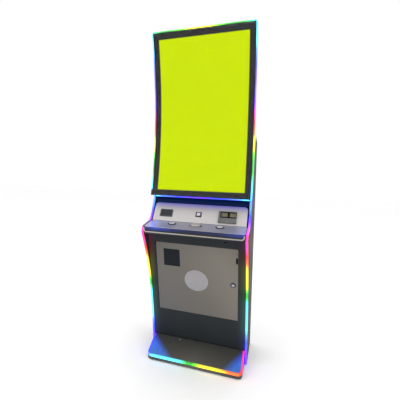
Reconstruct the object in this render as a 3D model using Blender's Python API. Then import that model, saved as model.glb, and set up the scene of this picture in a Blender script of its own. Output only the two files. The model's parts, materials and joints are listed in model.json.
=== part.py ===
"""Free-standing slot machine with a tall curved screen, a button deck and a lit cabinet.

Metres, +Z up, the player stands at -Y. The origin is at the middle of the footprint, on the floor.
Sections in the side view are written as (y, z). Sloping faces have an empty of their own, whose
local X runs across the machine, local Y up the slope and local Z out of the face.
"""

import math

import bmesh
import bpy
from mathutils import Matrix, Vector

# ---------------------------------------------------------------- driving dimensions
HALF_WIDTH = 0.306
PANEL_THICKNESS = 0.014
INNER = HALF_WIDTH - PANEL_THICKNESS
GAP = 0.0003
SHEET = 0.0025

REAR_Y = 0.296
FLOOR_CLEARANCE = 0.006
LIGHT_DEPTH = 0.011

CURVE_RADIUS = 1.600
FRONT_ARC_CENTRE = (-1.617, -0.0437)
FRONT_ARC_TOP = math.radians(33.5)
NOSE_CENTRE = (-0.2536, 0.8587)
NOSE_RADIUS = 0.035
CABINET_TOP = (0.083, 1.442)
CABINET_TOP_REAR = 1.397

FRONT_FOOT = (-0.0150, 0.0970)
FRONT_HEAD = (-0.1881, 0.8450)
LEDGE_FRONT = (-0.2838, 0.8914)
DECK_CREASE = (-0.1307, 0.9036)
DECK_TOP = (-0.0400, 1.0071)
NECK_FOOT = (-0.0320, 1.0080)
NECK_HEAD = (0.0900, 1.4300)

DOOR_HALF_WIDTH = 0.2475
DOOR_LOW = 0.2097
DOOR_HIGH = 0.6967
DOOR_FLANGE = 0.012
LOCK_X = 0.2197
LOCK_Y = 0.4554

SCREEN_CENTRE = (-1.6299, 1.5424)
ACTIVE_HALF_WIDTH = 0.2647
ACTIVE_LOW = math.radians(-16.06)
ACTIVE_HIGH = math.radians(17.62)
SCREEN_LOW = math.radians(-17.47)
SCREEN_HIGH = math.radians(19.37)
SCREEN_LIGHT_WIDTH = 0.0140
SCREEN_CORNER = 0.016

BASE_HALF_WIDTH = 0.291
BASE_FRONT_Y = -0.196
BASE_FRONT_TOP = 0.036
BASE_CORNER = 0.028
BASE_LIGHT_HEIGHT = 0.015
BASE_LIGHT_DEPTH = 0.009

HINGE_RADIUS = 0.003
HINGE_BORE = 0.00162
HINGE_PIN = 0.0015
HINGE_LIFT = 0.001
HINGE_GAP = 0.0034

# ---------------------------------------------------------------- materials
COLOURS = {
    "black_laminate": ((0.020, 0.021, 0.024), 0.35, 0.0),
    "charcoal_paint": ((0.030, 0.036, 0.040), 0.42, 0.0),
    "warm_grey_paint": ((0.185, 0.165, 0.148), 0.48, 0.0),
    "silver_paint": ((0.560, 0.540, 0.530), 0.32, 0.4),
    "black_gloss": ((0.008, 0.009, 0.012), 0.08, 0.0),
    "black_plastic": ((0.015, 0.015, 0.017), 0.45, 0.0),
    "grey_plastic": ((0.280, 0.280, 0.270), 0.40, 0.0),
    "disc_grey": ((0.400, 0.385, 0.400), 0.40, 0.0),
    "white_lens": ((0.850, 0.850, 0.870), 0.20, 0.0),
    "light_diffuser": ((0.300, 0.750, 0.950), 0.30, 0.0),
    "screen_lit": ((0.610, 0.800, 0.002), 0.20, 0.0),
    "touch_glass": ((0.010, 0.010, 0.012), 0.05, 0.0),
    "chrome": ((0.800, 0.800, 0.810), 0.10, 1.0),
    "steel": ((0.560, 0.570, 0.580), 0.35, 1.0),
    "rubber": ((0.020, 0.020, 0.020), 0.80, 0.0),
    "zinc_sheet": ((0.450, 0.460, 0.470), 0.45, 1.0),
}


def make_materials():
    made = {}
    for name, (colour, roughness, metallic) in COLOURS.items():
        material = bpy.data.materials.new(name)
        material.use_nodes = True
        shader = material.node_tree.nodes["Principled BSDF"]
        shader.inputs["Base Color"].default_value = (*colour, 1.0)
        shader.inputs["Roughness"].default_value = roughness
        shader.inputs["Metallic"].default_value = metallic
        made[name] = material
    return made


# ---------------------------------------------------------------- building blocks
def clear_scene():
    for obj in list(bpy.data.objects):
        bpy.data.objects.remove(obj, do_unlink=True)


def mesh_object(name, bm, material, frame=None):
    """One object from a bmesh, with its normals out, under the empty of the face it belongs to."""
    bmesh.ops.recalc_face_normals(bm, faces=bm.faces)
    mesh = bpy.data.meshes.new(name)
    bm.to_mesh(mesh)
    bm.free()
    obj = bpy.data.objects.new(name, mesh)
    obj.data.materials.append(MATERIALS[material])
    bpy.context.collection.objects.link(obj)
    obj.parent = frame
    return obj


def loft(name, rings, material, frame=None):
    """A closed body through rings with the same number of points, capped at both ends."""
    bm = bmesh.new()
    rows = [[bm.verts.new(point) for point in ring] for ring in rings]
    count = len(rows[0])
    for low, high in zip(rows, rows[1:]):
        for i in range(count):
            j = (i + 1) % count
            bm.faces.new((low[i], low[j], high[j], high[i]))
    bm.faces.new(rows[0])
    bm.faces.new(rows[-1])
    return mesh_object(name, bm, material, frame)


def across(name, section, x0, x1, material):
    """A side-view section, as (y, z) points, run across the machine from x0 to x1."""
    return loft(name, [[(x, y, z) for y, z in section] for x in (x0, x1)], material)


def plate(name, outline, z0, z1, material, frame=None):
    """An (x, y) outline given a thickness from z0 to z1, all in the frame's axes."""
    return loft(name, [[(x, y, z) for x, y in outline] for z in (z0, z1)], material, frame)


def block(name, low, high, material, frame=None):
    outline = rectangle(low[0], low[1], high[0], high[1])
    return plate(name, outline, low[2], high[2], material, frame)


def rectangle(x0, y0, x1, y1):
    return [(x0, y0), (x1, y0), (x1, y1), (x0, y1)]


def rounded(x0, y0, x1, y1, radius, corners=(1, 1, 1, 1), steps=5):
    """A rectangle with round corners, from the low left one round to the high left one."""
    centres = (
        (x0 + radius, y0 + radius, 180, corners[0], (x0, y0)),
        (x1 - radius, y0 + radius, 270, corners[1], (x1, y0)),
        (x1 - radius, y1 - radius, 0, corners[2], (x1, y1)),
        (x0 + radius, y1 - radius, 90, corners[3], (x0, y1)),
    )
    points = []
    for cx, cy, start, is_round, corner in centres:
        if not is_round:
            points.append(corner)
            continue
        for k in range(steps + 1):
            angle = math.radians(start + 90 * k / steps)
            points.append((cx + radius * math.cos(angle), cy + radius * math.sin(angle)))
    return points


def circle(cx, cy, radius, count=24):
    angles = [2 * math.pi * k / count for k in range(count)]
    return [(cx + radius * math.cos(a), cy + radius * math.sin(a)) for a in angles]


def turned(name, profile, centre, material, frame=None, count=24):
    """A solid of revolution about the frame's Z through centre. The profile is (radius, z) points
    from the axis round to the axis, or a closed loop clear of the axis for a ring."""
    bm = bmesh.new()
    is_ring = min(radius for radius, _ in profile) > 0
    rows = []
    for radius, z in profile:
        if radius == 0:
            rows.append([bm.verts.new((centre[0], centre[1], centre[2] + z))])
        else:
            ring = circle(centre[0], centre[1], radius, count)
            rows.append([bm.verts.new((x, y, centre[2] + z)) for x, y in ring])
    pairs = list(zip(rows, rows[1:]))
    if is_ring:
        pairs.append((rows[-1], rows[0]))
    for a, b in pairs:
        for i in range(count):
            j = (i + 1) % count
            corners = [a[i % len(a)], a[j % len(a)], b[j % len(b)], b[i % len(b)]]
            corners = [v for k, v in enumerate(corners) if v not in corners[:k]]
            if len(corners) > 2:
                bm.faces.new(corners)
    return mesh_object(name, bm, material, frame)


def combine(target, other, operation):
    """Adds or takes away a helper, which stays in the scene as a wire shape."""
    other.hide_render = True
    other.display_type = "WIRE"
    modifier = target.modifiers.new(other.name, "BOOLEAN")
    modifier.operation = operation
    modifier.object = other
    return target


def cut(target, *cutters):
    for cutter in cutters:
        combine(target, cutter, "DIFFERENCE")
    return target


def add(target, *pieces):
    for piece in pieces:
        combine(target, piece, "UNION")
    return target


def axes(name, origin, x_axis, y_axis, parent=None):
    """An empty at origin whose X and Y run along the two directions."""
    empty = bpy.data.objects.new(name, None)
    bpy.context.collection.objects.link(empty)
    x_dir = Vector(x_axis).normalized()
    y_dir = Vector(y_axis).normalized()
    matrix = Matrix((x_dir, y_dir, x_dir.cross(y_dir))).transposed().to_4x4()
    matrix.translation = Vector(origin)
    empty.matrix_world = matrix
    if parent:
        empty.parent = parent
        empty.matrix_local = Matrix.Translation(origin)
    return empty


def slope(name, foot, head):
    """The empty of a face that slopes in the side view from foot to head, seen by the player."""
    direction = (0, head[0] - foot[0], head[1] - foot[1])
    return axes(name, (0, *foot), (1, 0, 0), direction)


# ---------------------------------------------------------------- side-view curves
def arc(centre, radius, start, end, steps):
    """Points (y, z) on a circle, from angle start to angle end."""
    points = []
    for k in range(steps + 1):
        angle = start + (end - start) * k / steps
        points.append((centre[0] + radius * math.cos(angle), centre[1] + radius * math.sin(angle)))
    return points


def fillet(before, corner, after, radius, steps=5):
    """The corner of a path rounded to a radius, as points (y, z)."""
    c = Vector(corner)
    u = (Vector(before) - c).normalized()
    v = (Vector(after) - c).normalized()
    half = u.angle(v) / 2
    centre = c + (u + v).normalized() * radius / math.sin(half)
    start = c + u * radius / math.tan(half) - centre
    end = c + v * radius / math.tan(half) - centre
    turn = start.angle_signed(end)
    points = []
    for k in range(steps + 1):
        points.append(tuple(centre + Matrix.Rotation(-turn * k / steps, 2) @ start))
    return points


def offset(path, distance):
    """The path moved sideways to the right of its direction."""
    moved = []
    for i, point in enumerate(path):
        before = Vector(path[max(i - 1, 0)])
        after = Vector(path[min(i + 1, len(path) - 1)])
        along = (after - before).normalized()
        moved.append((point[0] + along.y * distance, point[1] - along.x * distance))
    return moved


def cabinet_front():
    """The front edge of the cabinet in the side view, from the floor up to its top."""
    start = math.asin((FLOOR_CLEARANCE - FRONT_ARC_CENTRE[1]) / CURVE_RADIUS)
    ledge_end = math.atan2(DECK_CREASE[1] - LEDGE_FRONT[1], DECK_CREASE[0] - LEDGE_FRONT[0])
    nose_start = math.pi + FRONT_ARC_TOP
    nose_end = math.pi / 2 + ledge_end
    lower = arc(FRONT_ARC_CENTRE, CURVE_RADIUS, start, FRONT_ARC_TOP, 12)
    nose = arc(NOSE_CENTRE, NOSE_RADIUS, nose_start, nose_end, 7)
    crease = (-0.1073, 0.9055)
    shoulder = (-0.0450, 1.0330)
    path = lower + nose[1:]
    path += fillet(nose[-1], crease, shoulder, 0.12)
    path += fillet(crease, shoulder, CABINET_TOP, 0.50, 3)
    path.append(CABINET_TOP)
    return path


def screen_point(angle, depth):
    """A point (y, z) of the screen, depth behind its curved front."""
    radius = CURVE_RADIUS + depth
    return (
        SCREEN_CENTRE[0] + radius * math.cos(angle),
        SCREEN_CENTRE[1] + radius * math.sin(angle),
    )


def screen_angles(low, high):
    """Angles from low to high, with every whole step between, so that layers share their facets."""
    step = math.radians(2.0)
    first = math.ceil(low / step + 0.05)
    last = math.floor(high / step - 0.05)
    return [low] + [k * step for k in range(first, last + 1)] + [high]


def screen_slab(name, low, high, front, back, half_width, material):
    angles = screen_angles(low, high)
    section = [screen_point(a, front) for a in angles]
    section += [screen_point(a, back) for a in reversed(angles)]
    return across(name, section, -half_width, half_width, material)


def neck_y(z):
    """The front face of the neck at a height."""
    run = (NECK_HEAD[0] - NECK_FOOT[0]) / (NECK_HEAD[1] - NECK_FOOT[1])
    return NECK_FOOT[0] + run * (z - NECK_FOOT[1])


# ---------------------------------------------------------------- the cabinet
def side_panels():
    front = cabinet_front()
    light_back = offset(front, LIGHT_DEPTH)
    section = offset(front, LIGHT_DEPTH + GAP) + [(REAR_Y, CABINET_TOP_REAR)]
    section.append((REAR_Y, FLOOR_CLEARANCE))
    light = front + light_back[::-1]
    for side, sign in (("left", -1), ("right", 1)):
        x0, x1 = sorted((sign * INNER, sign * HALF_WIDTH))
        across(f"side_panel_{side}", section, x0, x1, "black_laminate")
        across(f"side_light_{side}", light, x0 + 0.0005, x1 - 0.0005, "light_diffuser")


def base():
    """The sloping footrest, its light and the four feet."""
    back_y = FRONT_FOOT[0] - 0.002
    rise = (FRONT_FOOT[1] - BASE_FRONT_TOP) / (FRONT_FOOT[0] - BASE_FRONT_Y)

    def top(y, drop=0.0):
        return BASE_FRONT_TOP + rise * (y - BASE_FRONT_Y) - drop

    def plan(inset):
        return rounded(
            -BASE_HALF_WIDTH + inset,
            BASE_FRONT_Y + inset,
            BASE_HALF_WIDTH - inset,
            back_y,
            BASE_CORNER - inset,
            (1, 1, 0, 0),
        )

    def ring(inset, drop):
        return [(x, y, top(y, drop)) for x, y in plan(inset)]

    skirt = [(x, y, FLOOR_CLEARANCE - 0.001) for x, y in plan(0)]
    rebate = BASE_LIGHT_DEPTH + GAP
    drop = BASE_LIGHT_HEIGHT + GAP
    rings = [skirt, ring(0, drop), ring(rebate, drop), ring(rebate, 0)]
    loft("base_plate", rings, "black_laminate")

    # The light lies in the rebate, round the front and both sides, and ends at the back.
    outer_top = ring(0, 0)
    outer_low = ring(0, BASE_LIGHT_HEIGHT)
    inner_top = ring(BASE_LIGHT_DEPTH, 0)
    inner_low = ring(BASE_LIGHT_DEPTH, BASE_LIGHT_HEIGHT)
    stations = [list(four) for four in zip(outer_top, outer_low, inner_low, inner_top)]
    stations = [stations[-1]] + stations[:-1]
    loft("base_light", stations, "light_diffuser")

    for name, x, y, top_z in (
        ("foot_front_left", -0.22, -0.13, FLOOR_CLEARANCE - 0.001),
        ("foot_front_right", 0.22, -0.13, FLOOR_CLEARANCE - 0.001),
        ("foot_rear_left", -0.24, 0.25, 0.012),
        ("foot_rear_right", 0.24, 0.25, 0.012),
    ):
        profile = [(0, 0), (0.018, 0), (0.018, 0.003), (0.009, 0.0042), (0.006, 0.0045)]
        profile += [(0.006, top_z - GAP), (0, top_z - GAP)]
        turned(name, profile, (x, y, 0), "rubber", count=20)


def cabinet_skins():
    """The neck behind the screen, the sloping top and the fixed panels at the back."""
    neck = slope("neck_axes", NECK_FOOT, NECK_HEAD)
    length = math.dist(NECK_FOOT, NECK_HEAD)
    half = INNER - GAP
    panel = block("neck_panel", (-half, 0, -SHEET), (half, length, 0), "charcoal_paint", neck)
    for side in (-1, 1):
        for row in range(5):
            x = side * 0.20
            y = 0.110 + 0.014 * row
            slot = rounded(x - 0.035, y, x + 0.035, y + 0.006, 0.0029, steps=3)
            cut(panel, plate(f"neck_slot_{side}_{row}", slot, -0.01, 0.01, "steel", neck))

    top_front = (CABINET_TOP[0] + 0.014, CABINET_TOP[1] - 0.006)
    top_rear = (REAR_Y - 0.0005, CABINET_TOP_REAR - 0.003)
    top = [top_front, top_rear, (top_rear[0], top_rear[1] - SHEET)]
    top.append((top_front[0], top_front[1] - SHEET))
    across("top_cover", top, -half, half, "charcoal_paint")

    rear = axes("rear_axes", (0, REAR_Y, 0), (-1, 0, 0), (0, 0, 1))
    upper = block(
        "rear_upper_panel",
        (-half, REAR_SPLIT, -SHEET),
        (half, CABINET_TOP_REAR - 0.008, 0),
        "charcoal_paint",
        rear,
    )
    fold = block(
        "upper_panel_fold", (-half, REAR_SPLIT, -0.0145), (half, REAR_SPLIT + 0.002, -0.001),
        "charcoal_paint", rear,
    )
    add(upper, fold)
    for row in range(6):
        y = FAN_Z - 0.045 + 0.018 * row
        slot = rounded(FAN_X - 0.045, y - 0.004, FAN_X + 0.045, y + 0.004, 0.0039, steps=3)
        cut(upper, plate(f"fan_slot_{row}", slot, -0.01, 0.01, "steel", rear))
    pan = block(
        "floor_pan", (-half, FRONT_FOOT[0] + 0.004, 0.012), (half, REAR_Y - 0.001, 0.015),
        "charcoal_paint",
    )
    upstand = block(
        "pan_upstand", (-half, 0.012, -SHEET), (half, REAR_DOOR_LOW - 0.002, 0),
        "charcoal_paint", rear,
    )
    cut(
        add(pan, upstand),
        block("inlet_cut", (0.1605, 0.0455, -0.01), (0.2095, 0.0745, 0.01), "steel", rear),
        block("rocker_cut", (0.1195, 0.0455, -0.01), (0.1405, 0.0745, 0.01), "steel", rear),
    )
    return rear


# ---------------------------------------------------------------- hinges
def hinge(prefix, frame, x, y0, y1, door_side, knuckles, material):
    """A butt hinge standing in the gap beside a door. The pin is pressed into the fixed leaf.

    The axis runs along the frame's Y at x, a little proud of the face. door_side is +1 where the
    door is on the +X side of the axis.
    """
    step = (y1 - y0) / knuckles
    leaf_in = HINGE_RADIUS + 0.0001
    leaf_out = 0.0019
    leaf_low = -0.0145
    leaf_high = -0.0023

    def leaf(name, sign, parity):
        a, b = sorted((x + sign * leaf_in, x + sign * leaf_out))
        body = block(name, (a, y0, leaf_low), (b, y1, leaf_high), material, frame)
        for k in range(knuckles):
            if k % 2 != parity:
                continue
            low, high = y0 + k * step + GAP, y0 + (k + 1) * step - GAP
            tab = block(
                f"{name}_tab_{k}", (a, low, leaf_high - 0.001), (b, high, 0.0005), material, frame
            )
            barrel = axle(f"{name}_barrel_{k}", x, HINGE_RADIUS, low, high, frame, material, 12)
            add(body, tab, barrel)
        return body

    fixed = leaf(f"{prefix}_fixed_leaf", -door_side, 0)
    moving = leaf(f"{prefix}_door_leaf", door_side, 1)
    add(fixed, axle(f"{prefix}_pin", x, HINGE_PIN, y0 - 0.0005, y1 + 0.0005, frame, "steel", 12))
    cut(moving, axle(f"{prefix}_bore", x, HINGE_BORE, y0 - 0.01, y1 + 0.01, frame, "steel", 12))


def axle(name, x, radius, y0, y1, frame, material, count):
    """A cylinder along the frame's Y at the hinge's height."""
    rings = []
    for y in (y0, y1):
        rings.append([(px, y, pz) for px, pz in circle(x, HINGE_LIFT, radius, count)])
    return loft(name, rings, material, frame)


# ---------------------------------------------------------------- the front and its door
def front_frame(front):
    half = INNER - GAP
    top = math.dist(FRONT_FOOT, FRONT_HEAD)
    low, high = DOOR_LOW - 0.0015, DOOR_HIGH + 0.0015
    left, right = -DOOR_HALF_WIDTH - 2 * HINGE_GAP, DOOR_HALF_WIDTH + 0.0015
    body = block("front_frame", (-half, 0.0015, -SHEET), (half, top, 0), "charcoal_paint", front)
    rim = block(
        "front_rim", (left - 0.002, low - 0.002, -0.0165), (right + 0.002, high + 0.002, -0.001),
        "charcoal_paint", front,
    )
    hole = block("front_hole", (left, low, -0.03), (right, high, 0.02), "charcoal_paint", front)
    cut(add(body, rim), hole)


def main_door(front):
    hinge_x = -DOOR_HALF_WIDTH - HINGE_GAP
    pivot = axes("door_pivot", (hinge_x, 0, HINGE_LIFT), (1, 0, 0), (0, 1, 0), front)
    door = axes("door_axes", (-hinge_x, 0, -HINGE_LIFT), (1, 0, 0), (0, 1, 0), pivot)

    half = DOOR_HALF_WIDTH
    wall = 0.0015
    body = block(
        "main_door", (-half, DOOR_LOW, -DOOR_FLANGE), (half, DOOR_HIGH, 0), "warm_grey_paint", door
    )
    pocket = block(
        "door_pocket",
        (-half + wall, DOOR_LOW + wall, -0.03),
        (half - wall, DOOR_HIGH - wall, -SHEET),
        "steel",
        door,
    )
    window = block("door_window", (-0.2005, 0.537, -0.02), (-0.0990, 0.655, 0.02), "steel", door)
    lock_hole = plate("door_lock_hole", circle(LOCK_X, LOCK_Y, 0.0082), -0.02, 0.02, "steel", door)
    cut(body, pocket, window, lock_hole)

    block(
        "blanking_plate", (-0.2075, 0.530, -0.0048), (-0.0920, 0.662, -SHEET - GAP),
        "charcoal_paint", door,
    )
    disc = [(0, GAP), (0.0725, GAP), (0.0732, GAP + 0.0004), (0.0732, 0.0012), (0.0728, 0.0015)]
    disc.append((0, 0.0015))
    turned("door_disc", disc, (0, 0.4532, 0), "disc_grey", door, 48)

    hinge("door_hinge", front, hinge_x, DOOR_LOW + 0.02, DOOR_HIGH - 0.02, 1, 7, "charcoal_paint")

    centre = (LOCK_X, LOCK_Y, 0)
    barrel = [(0.0051, -0.0165), (0.0078, -0.0165), (0.0078, 0.0004), (0.0094, 0.0004)]
    barrel += [(0.0094, 0.0026), (0.0086, 0.0034), (0.0051, 0.0034)]
    turned("lock_barrel", barrel, centre, "chrome", door)
    lock = axes("lock_pivot", centre, (1, 0, 0), (0, 1, 0), door)
    plug = [(0, -0.0192), (0.0049, -0.0192), (0.0049, 0.0026), (0.0042, 0.0031), (0, 0.0031)]
    plug_body = turned("door_lock", plug, (0, 0, 0), "chrome", lock)
    cam = rounded(-0.0065, -0.038, 0.0065, 0.0065, 0.0060, steps=4)
    keyway = block("keyway", (-0.0005, -0.0030, 0.0005), (0.0005, 0.0030, 0.01), "steel", lock)
    cut(add(plug_body, plate("door_cam", cam, -0.0195, -0.0173, "steel", lock)), keyway)


# ---------------------------------------------------------------- the deck
def deck():
    upper = slope("deck_axes", DECK_CREASE, DECK_TOP)
    length = math.dist(DECK_CREASE, DECK_TOP)
    outline = rounded(-0.2845, 0.0015, 0.2845, length, 0.018, (0, 0, 1, 1))
    panel = plate("deck_upper_panel", outline, -SHEET, 0, "silver_paint", upper)
    cut(
        panel,
        block("window_cut", (-0.2390, 0.0365, -0.02), (-0.1670, 0.0825, 0.02), "steel", upper),
        block("service_cut", (-0.0140, 0.0490, -0.02), (0.0140, 0.0770, 0.02), "steel", upper),
        block("bill_cut", (0.1260, 0.0200, -0.02), (0.2200, 0.0870, 0.02), "steel", upper),
    )

    ledge = slope("ledge_axes", LEDGE_FRONT, DECK_CREASE)
    depth = math.dist(LEDGE_FRONT, DECK_CREASE)
    outline = rounded(-0.2895, 0, 0.2895, depth - 0.0010, 0.006, (1, 1, 0, 0), 3)
    panel = plate("deck_ledge", outline, -SHEET, 0, "silver_paint", ledge)
    for name, x, radius in (("left", -0.1425, 0.0205), ("spin", 0, 0.031), ("right", 0.1425, 0.0205)):
        hole = circle(x, BUTTON_ROW, radius)
        cut(panel, plate(f"{name}_hole", hole, -0.02, 0.02, "steel", ledge))

    # The fascia rolls down from the ledge, and its lower wing runs back to the front frame.
    skin = 0.003
    outer = arc((-0.2795, 0.8790), 0.0115, math.radians(115), math.radians(180), 5)
    outer += arc((-0.2790, 0.8590), 0.0120, math.radians(180), math.radians(250), 4)
    outer.append((FRONT_HEAD[0] - 0.0035, FRONT_HEAD[1] + 0.0040))
    inner = offset(outer, -skin)
    across("deck_fascia", outer + inner[::-1], -INNER + 0.002, INNER - 0.002, "black_gloss")
    return upper, ledge


def chrome_trim():
    """The bright bead under the fascia, which turns up at both ends."""
    radius = 0.0045
    y, z = -0.2959, 0.8620
    turn = 0.014
    half = 0.2850
    centres = [(-half, z + 0.024)]
    for sign, start in ((-1, 180), (1, 270)):
        for k in range(5):
            angle = math.radians(start + 90 * k / 4)
            cx = sign * (half - turn)
            centres.append((cx + turn * math.cos(angle), z + turn + turn * math.sin(angle)))
    centres.append((half, z + 0.024))
    rings = []
    for i, (cx, cz) in enumerate(centres):
        before, after = centres[max(i - 1, 0)], centres[min(i + 1, len(centres) - 1)]
        along = Vector((after[0] - before[0], 0, after[1] - before[1])).normalized()
        side = Vector((0, -1, 0)).cross(along)
        ring = []
        for k in range(10):
            angle = 2 * math.pi * k / 10
            away = side * math.cos(angle) + Vector((0, -1, 0)) * math.sin(angle)
            ring.append(Vector((cx, y, cz)) + away * radius)
        rings.append(ring)
    loft("chrome_trim", rings, "chrome")


def round_button(name, x, size, travel, ledge, cap_material, rim_material):
    """A rim with its threaded sleeve, and a cap that sinks into it."""
    sleeve = size * 0.74
    cap_r = size * 0.76 if size > 0.03 else size * 0.72
    bore = cap_r + 0.0008
    rim = [(bore, -0.016), (sleeve + 0.0015, -0.016), (sleeve + 0.0015, GAP), (size, GAP)]
    rim += [(size, 0.0022), (size - 0.0020, 0.0042), (bore + 0.0010, 0.0046), (bore, 0.0040)]
    turned(f"{name}_rim", rim, (x, BUTTON_ROW, 0), rim_material, ledge, 32)
    pivot = axes(f"{name}_axis", (x, BUTTON_ROW, 0), (1, 0, 0), (0, 1, 0), ledge)
    crown = 0.0046 + travel + 0.0012
    cap = [(0, -0.010), (cap_r, -0.010), (cap_r, crown - 0.0030), (cap_r * 0.93, crown - 0.0011)]
    cap += [(cap_r * 0.70, crown - 0.0003), (0, crown)]
    turned(f"{name}_cap", cap, (0, 0, 0), cap_material, pivot, 32)


def deck_devices(upper, ledge):
    round_button("left_button", -0.1425, 0.0250, 0.0025, ledge, "white_lens", "black_plastic")
    round_button("right_button", 0.1425, 0.0250, 0.0025, ledge, "white_lens", "black_plastic")
    round_button("spin_button", 0, 0.0385, 0.0035, ledge, "white_lens", "chrome")

    window = rounded(-0.2430, 0.0330, -0.1630, 0.0860, 0.003, steps=2)
    bezel = plate("display_bezel", window, GAP, 0.0040, "black_plastic", upper)
    throat = block(
        "display_throat", (-0.2385, 0.0370, -0.012), (-0.1675, 0.0820, 0.001), "black_plastic", upper
    )
    view = block(
        "display_view", (-0.2345, 0.0410, -0.02), (-0.1715, 0.0780, 0.02), "black_plastic", upper
    )
    cut(add(bezel, throat), view)
    block(
        "display_lens", (-0.2342, 0.0413, -0.0100), (-0.1718, 0.0777, -0.0015), "touch_glass", upper
    )

    frame = plate(
        "service_button_rim", rounded(-0.018, 0.045, 0.018, 0.081, 0.002, steps=2), GAP, 0.0035,
        "black_plastic", upper,
    )
    neck = block(
        "service_sleeve", (-0.0136, 0.0494, -0.014), (0.0136, 0.0766, 0.001), "black_plastic", upper
    )
    well = block(
        "service_well", (-0.0118, 0.0512, -0.02), (0.0118, 0.0748, 0.02), "black_plastic", upper
    )
    cut(add(frame, neck), well)
    pivot = axes("service_button_axis", (0, 0.063, 0), (1, 0, 0), (0, 1, 0), upper)
    cap = rounded(-0.0110, -0.0110, 0.0110, 0.0110, 0.0015, steps=2)
    lid = rounded(-0.0102, -0.0102, 0.0102, 0.0102, 0.0012, steps=2)
    levels = ((cap, -0.0100), (cap, 0.0056), (lid, 0.0063))
    rings = [[(px, py, pz) for px, py in shape] for shape, pz in levels]
    loft("service_button_cap", rings, "white_lens", pivot)

    bill = plate(
        "bill_bezel", rounded(0.1205, 0.0145, 0.2255, 0.0925, 0.003, steps=2), GAP, 0.0120,
        "grey_plastic", upper,
    )
    throat = block(
        "bill_throat", (0.1265, 0.0205, -0.010), (0.2195, 0.0865, 0.001), "grey_plastic", upper
    )
    recess = block(
        "bill_recess", (0.1310, 0.0460, 0.0015), (0.2240, 0.0905, 0.02), "grey_plastic", upper
    )
    mouth = block(
        "bill_mouth", (0.1370, 0.0465, -0.02), (0.2130, 0.0555, 0.01), "grey_plastic", upper
    )
    cut(add(bill, throat), recess, mouth)
    lattice = block(
        "bill_lattice", (0.1315, 0.0560, 0.0018), (0.2235, 0.0900, 0.0045), "black_plastic", upper
    )
    divider = block(
        "bill_divider", (0.1750, 0.0570, 0.004), (0.1800, 0.0890, 0.0075), "black_plastic", upper
    )
    add(lattice, divider)


def bill_unit():
    """The validator behind the bezel, and the cash box that hangs under it."""
    section = [(-0.0800, 0.8850), (-0.0730, 0.9330), (-0.0420, 0.9680), (0.0600, 0.9680)]
    section += [(0.0600, 0.8500), (-0.0800, 0.8500)]
    across("bill_validator", section, 0.1290, 0.2170, "black_plastic")
    outline = rounded(0.1310, -0.0780, 0.2150, 0.0560, 0.006, steps=2)
    plate("cash_box", outline, 0.6550, 0.8490, "grey_plastic")


# ---------------------------------------------------------------- the screen
def screen():
    glass_half = HALF_WIDTH - SCREEN_LIGHT_WIDTH - GAP
    lip = math.radians(0.36)
    screen_slab(
        "touch_glass", SCREEN_LOW, SCREEN_HIGH - lip - 0.0002, 0, 0.004, glass_half, "touch_glass"
    )
    margin = math.radians(0.45)
    screen_slab(
        "lcd_panel", ACTIVE_LOW - margin, ACTIVE_HIGH + margin, 0.0045, 0.0240,
        ACTIVE_HALF_WIDTH + 0.008, "screen_lit",
    )
    cover = screen_slab(
        "screen_housing", math.radians(-17.1), math.radians(18.55), 0.0045, 0.0550, glass_half,
        "black_plastic",
    )
    hollow = screen_slab(
        "housing_hollow", math.radians(-16.95), math.radians(18.40), -0.02, 0.0525,
        glass_half - 0.0025, "black_plastic",
    )
    cut(cover, hollow)
    screen_light()
    screen_bracket()


def screen_bracket():
    """Two arms from the neck to the back of the screen, and the bar that joins them."""
    angles = [math.radians(a) for a in (-12, -10, -8, -6, -4)]
    section = [screen_point(a, 0.0556) for a in angles]
    for z in (section[-1][1] + 0.012, section[0][1] + 0.006):
        section.append((neck_y(z) - 0.001, z))
    arms = [across(f"screen_arm_{x}", section, x - 0.02, x + 0.02, "steel") for x in (-0.13, 0.13)]
    bar = [(neck_y(z) - y, z) for y, z in ((0.001, 1.28), (0.001, 1.32), (0.005, 1.32), (0.005, 1.28))]
    add(across("screen_bracket", bar, -0.14, 0.14, "steel"), *arms)


def screen_light():
    """The diffuser round the left side, the top and the right side of the screen.

    It starts above a dark cap at the bottom left and reaches the bottom at the right.
    """
    outer_x = HALF_WIDTH
    inner_x = HALF_WIDTH - SCREEN_LIGHT_WIDTH
    corner = SCREEN_CORNER / CURVE_RADIUS
    lip = math.radians(0.36)
    start = math.radians(-16.10)
    side_top = SCREEN_HIGH - corner
    outer, inner = [], []
    for angle in screen_angles(start, side_top):
        outer.append((-outer_x, angle))
        inner.append((-inner_x, min(angle, SCREEN_HIGH - lip)))
    for k in range(1, 5):
        turn = math.radians(90 * k / 4)
        x = outer_x - SCREEN_CORNER + SCREEN_CORNER * math.cos(turn)
        outer.append((-x, side_top + corner * math.sin(turn)))
        inner.append((-min(x, inner_x), SCREEN_HIGH - lip))
    right_outer = [(-x, angle) for x, angle in reversed(outer)]
    right_inner = [(-x, angle) for x, angle in reversed(inner)]
    # The right side goes on to the bottom corner.
    right_outer[-1] = (outer_x, SCREEN_LOW)
    right_inner[-1] = (inner_x, SCREEN_LOW)
    stations = []
    for (xo, ao), (xi, ai) in zip(outer + right_outer, inner + right_inner):
        ring = []
        for x, angle, depth in ((xo, ao, 0), (xo, ao, 0.018), (xi, ai, 0.018), (xi, ai, 0)):
            y, z = screen_point(angle, depth)
            ring.append((x, y, z))
        stations.append(ring)
    loft("screen_light", stations, "light_diffuser")

    cap_high = start - 0.0003
    section = [screen_point(SCREEN_LOW, -0.001), screen_point(cap_high, -0.001)]
    section += [screen_point(cap_high, 0.030), screen_point(SCREEN_LOW, 0.012)]
    across("screen_corner_cap", section, -outer_x, -inner_x, "black_gloss")


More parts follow.
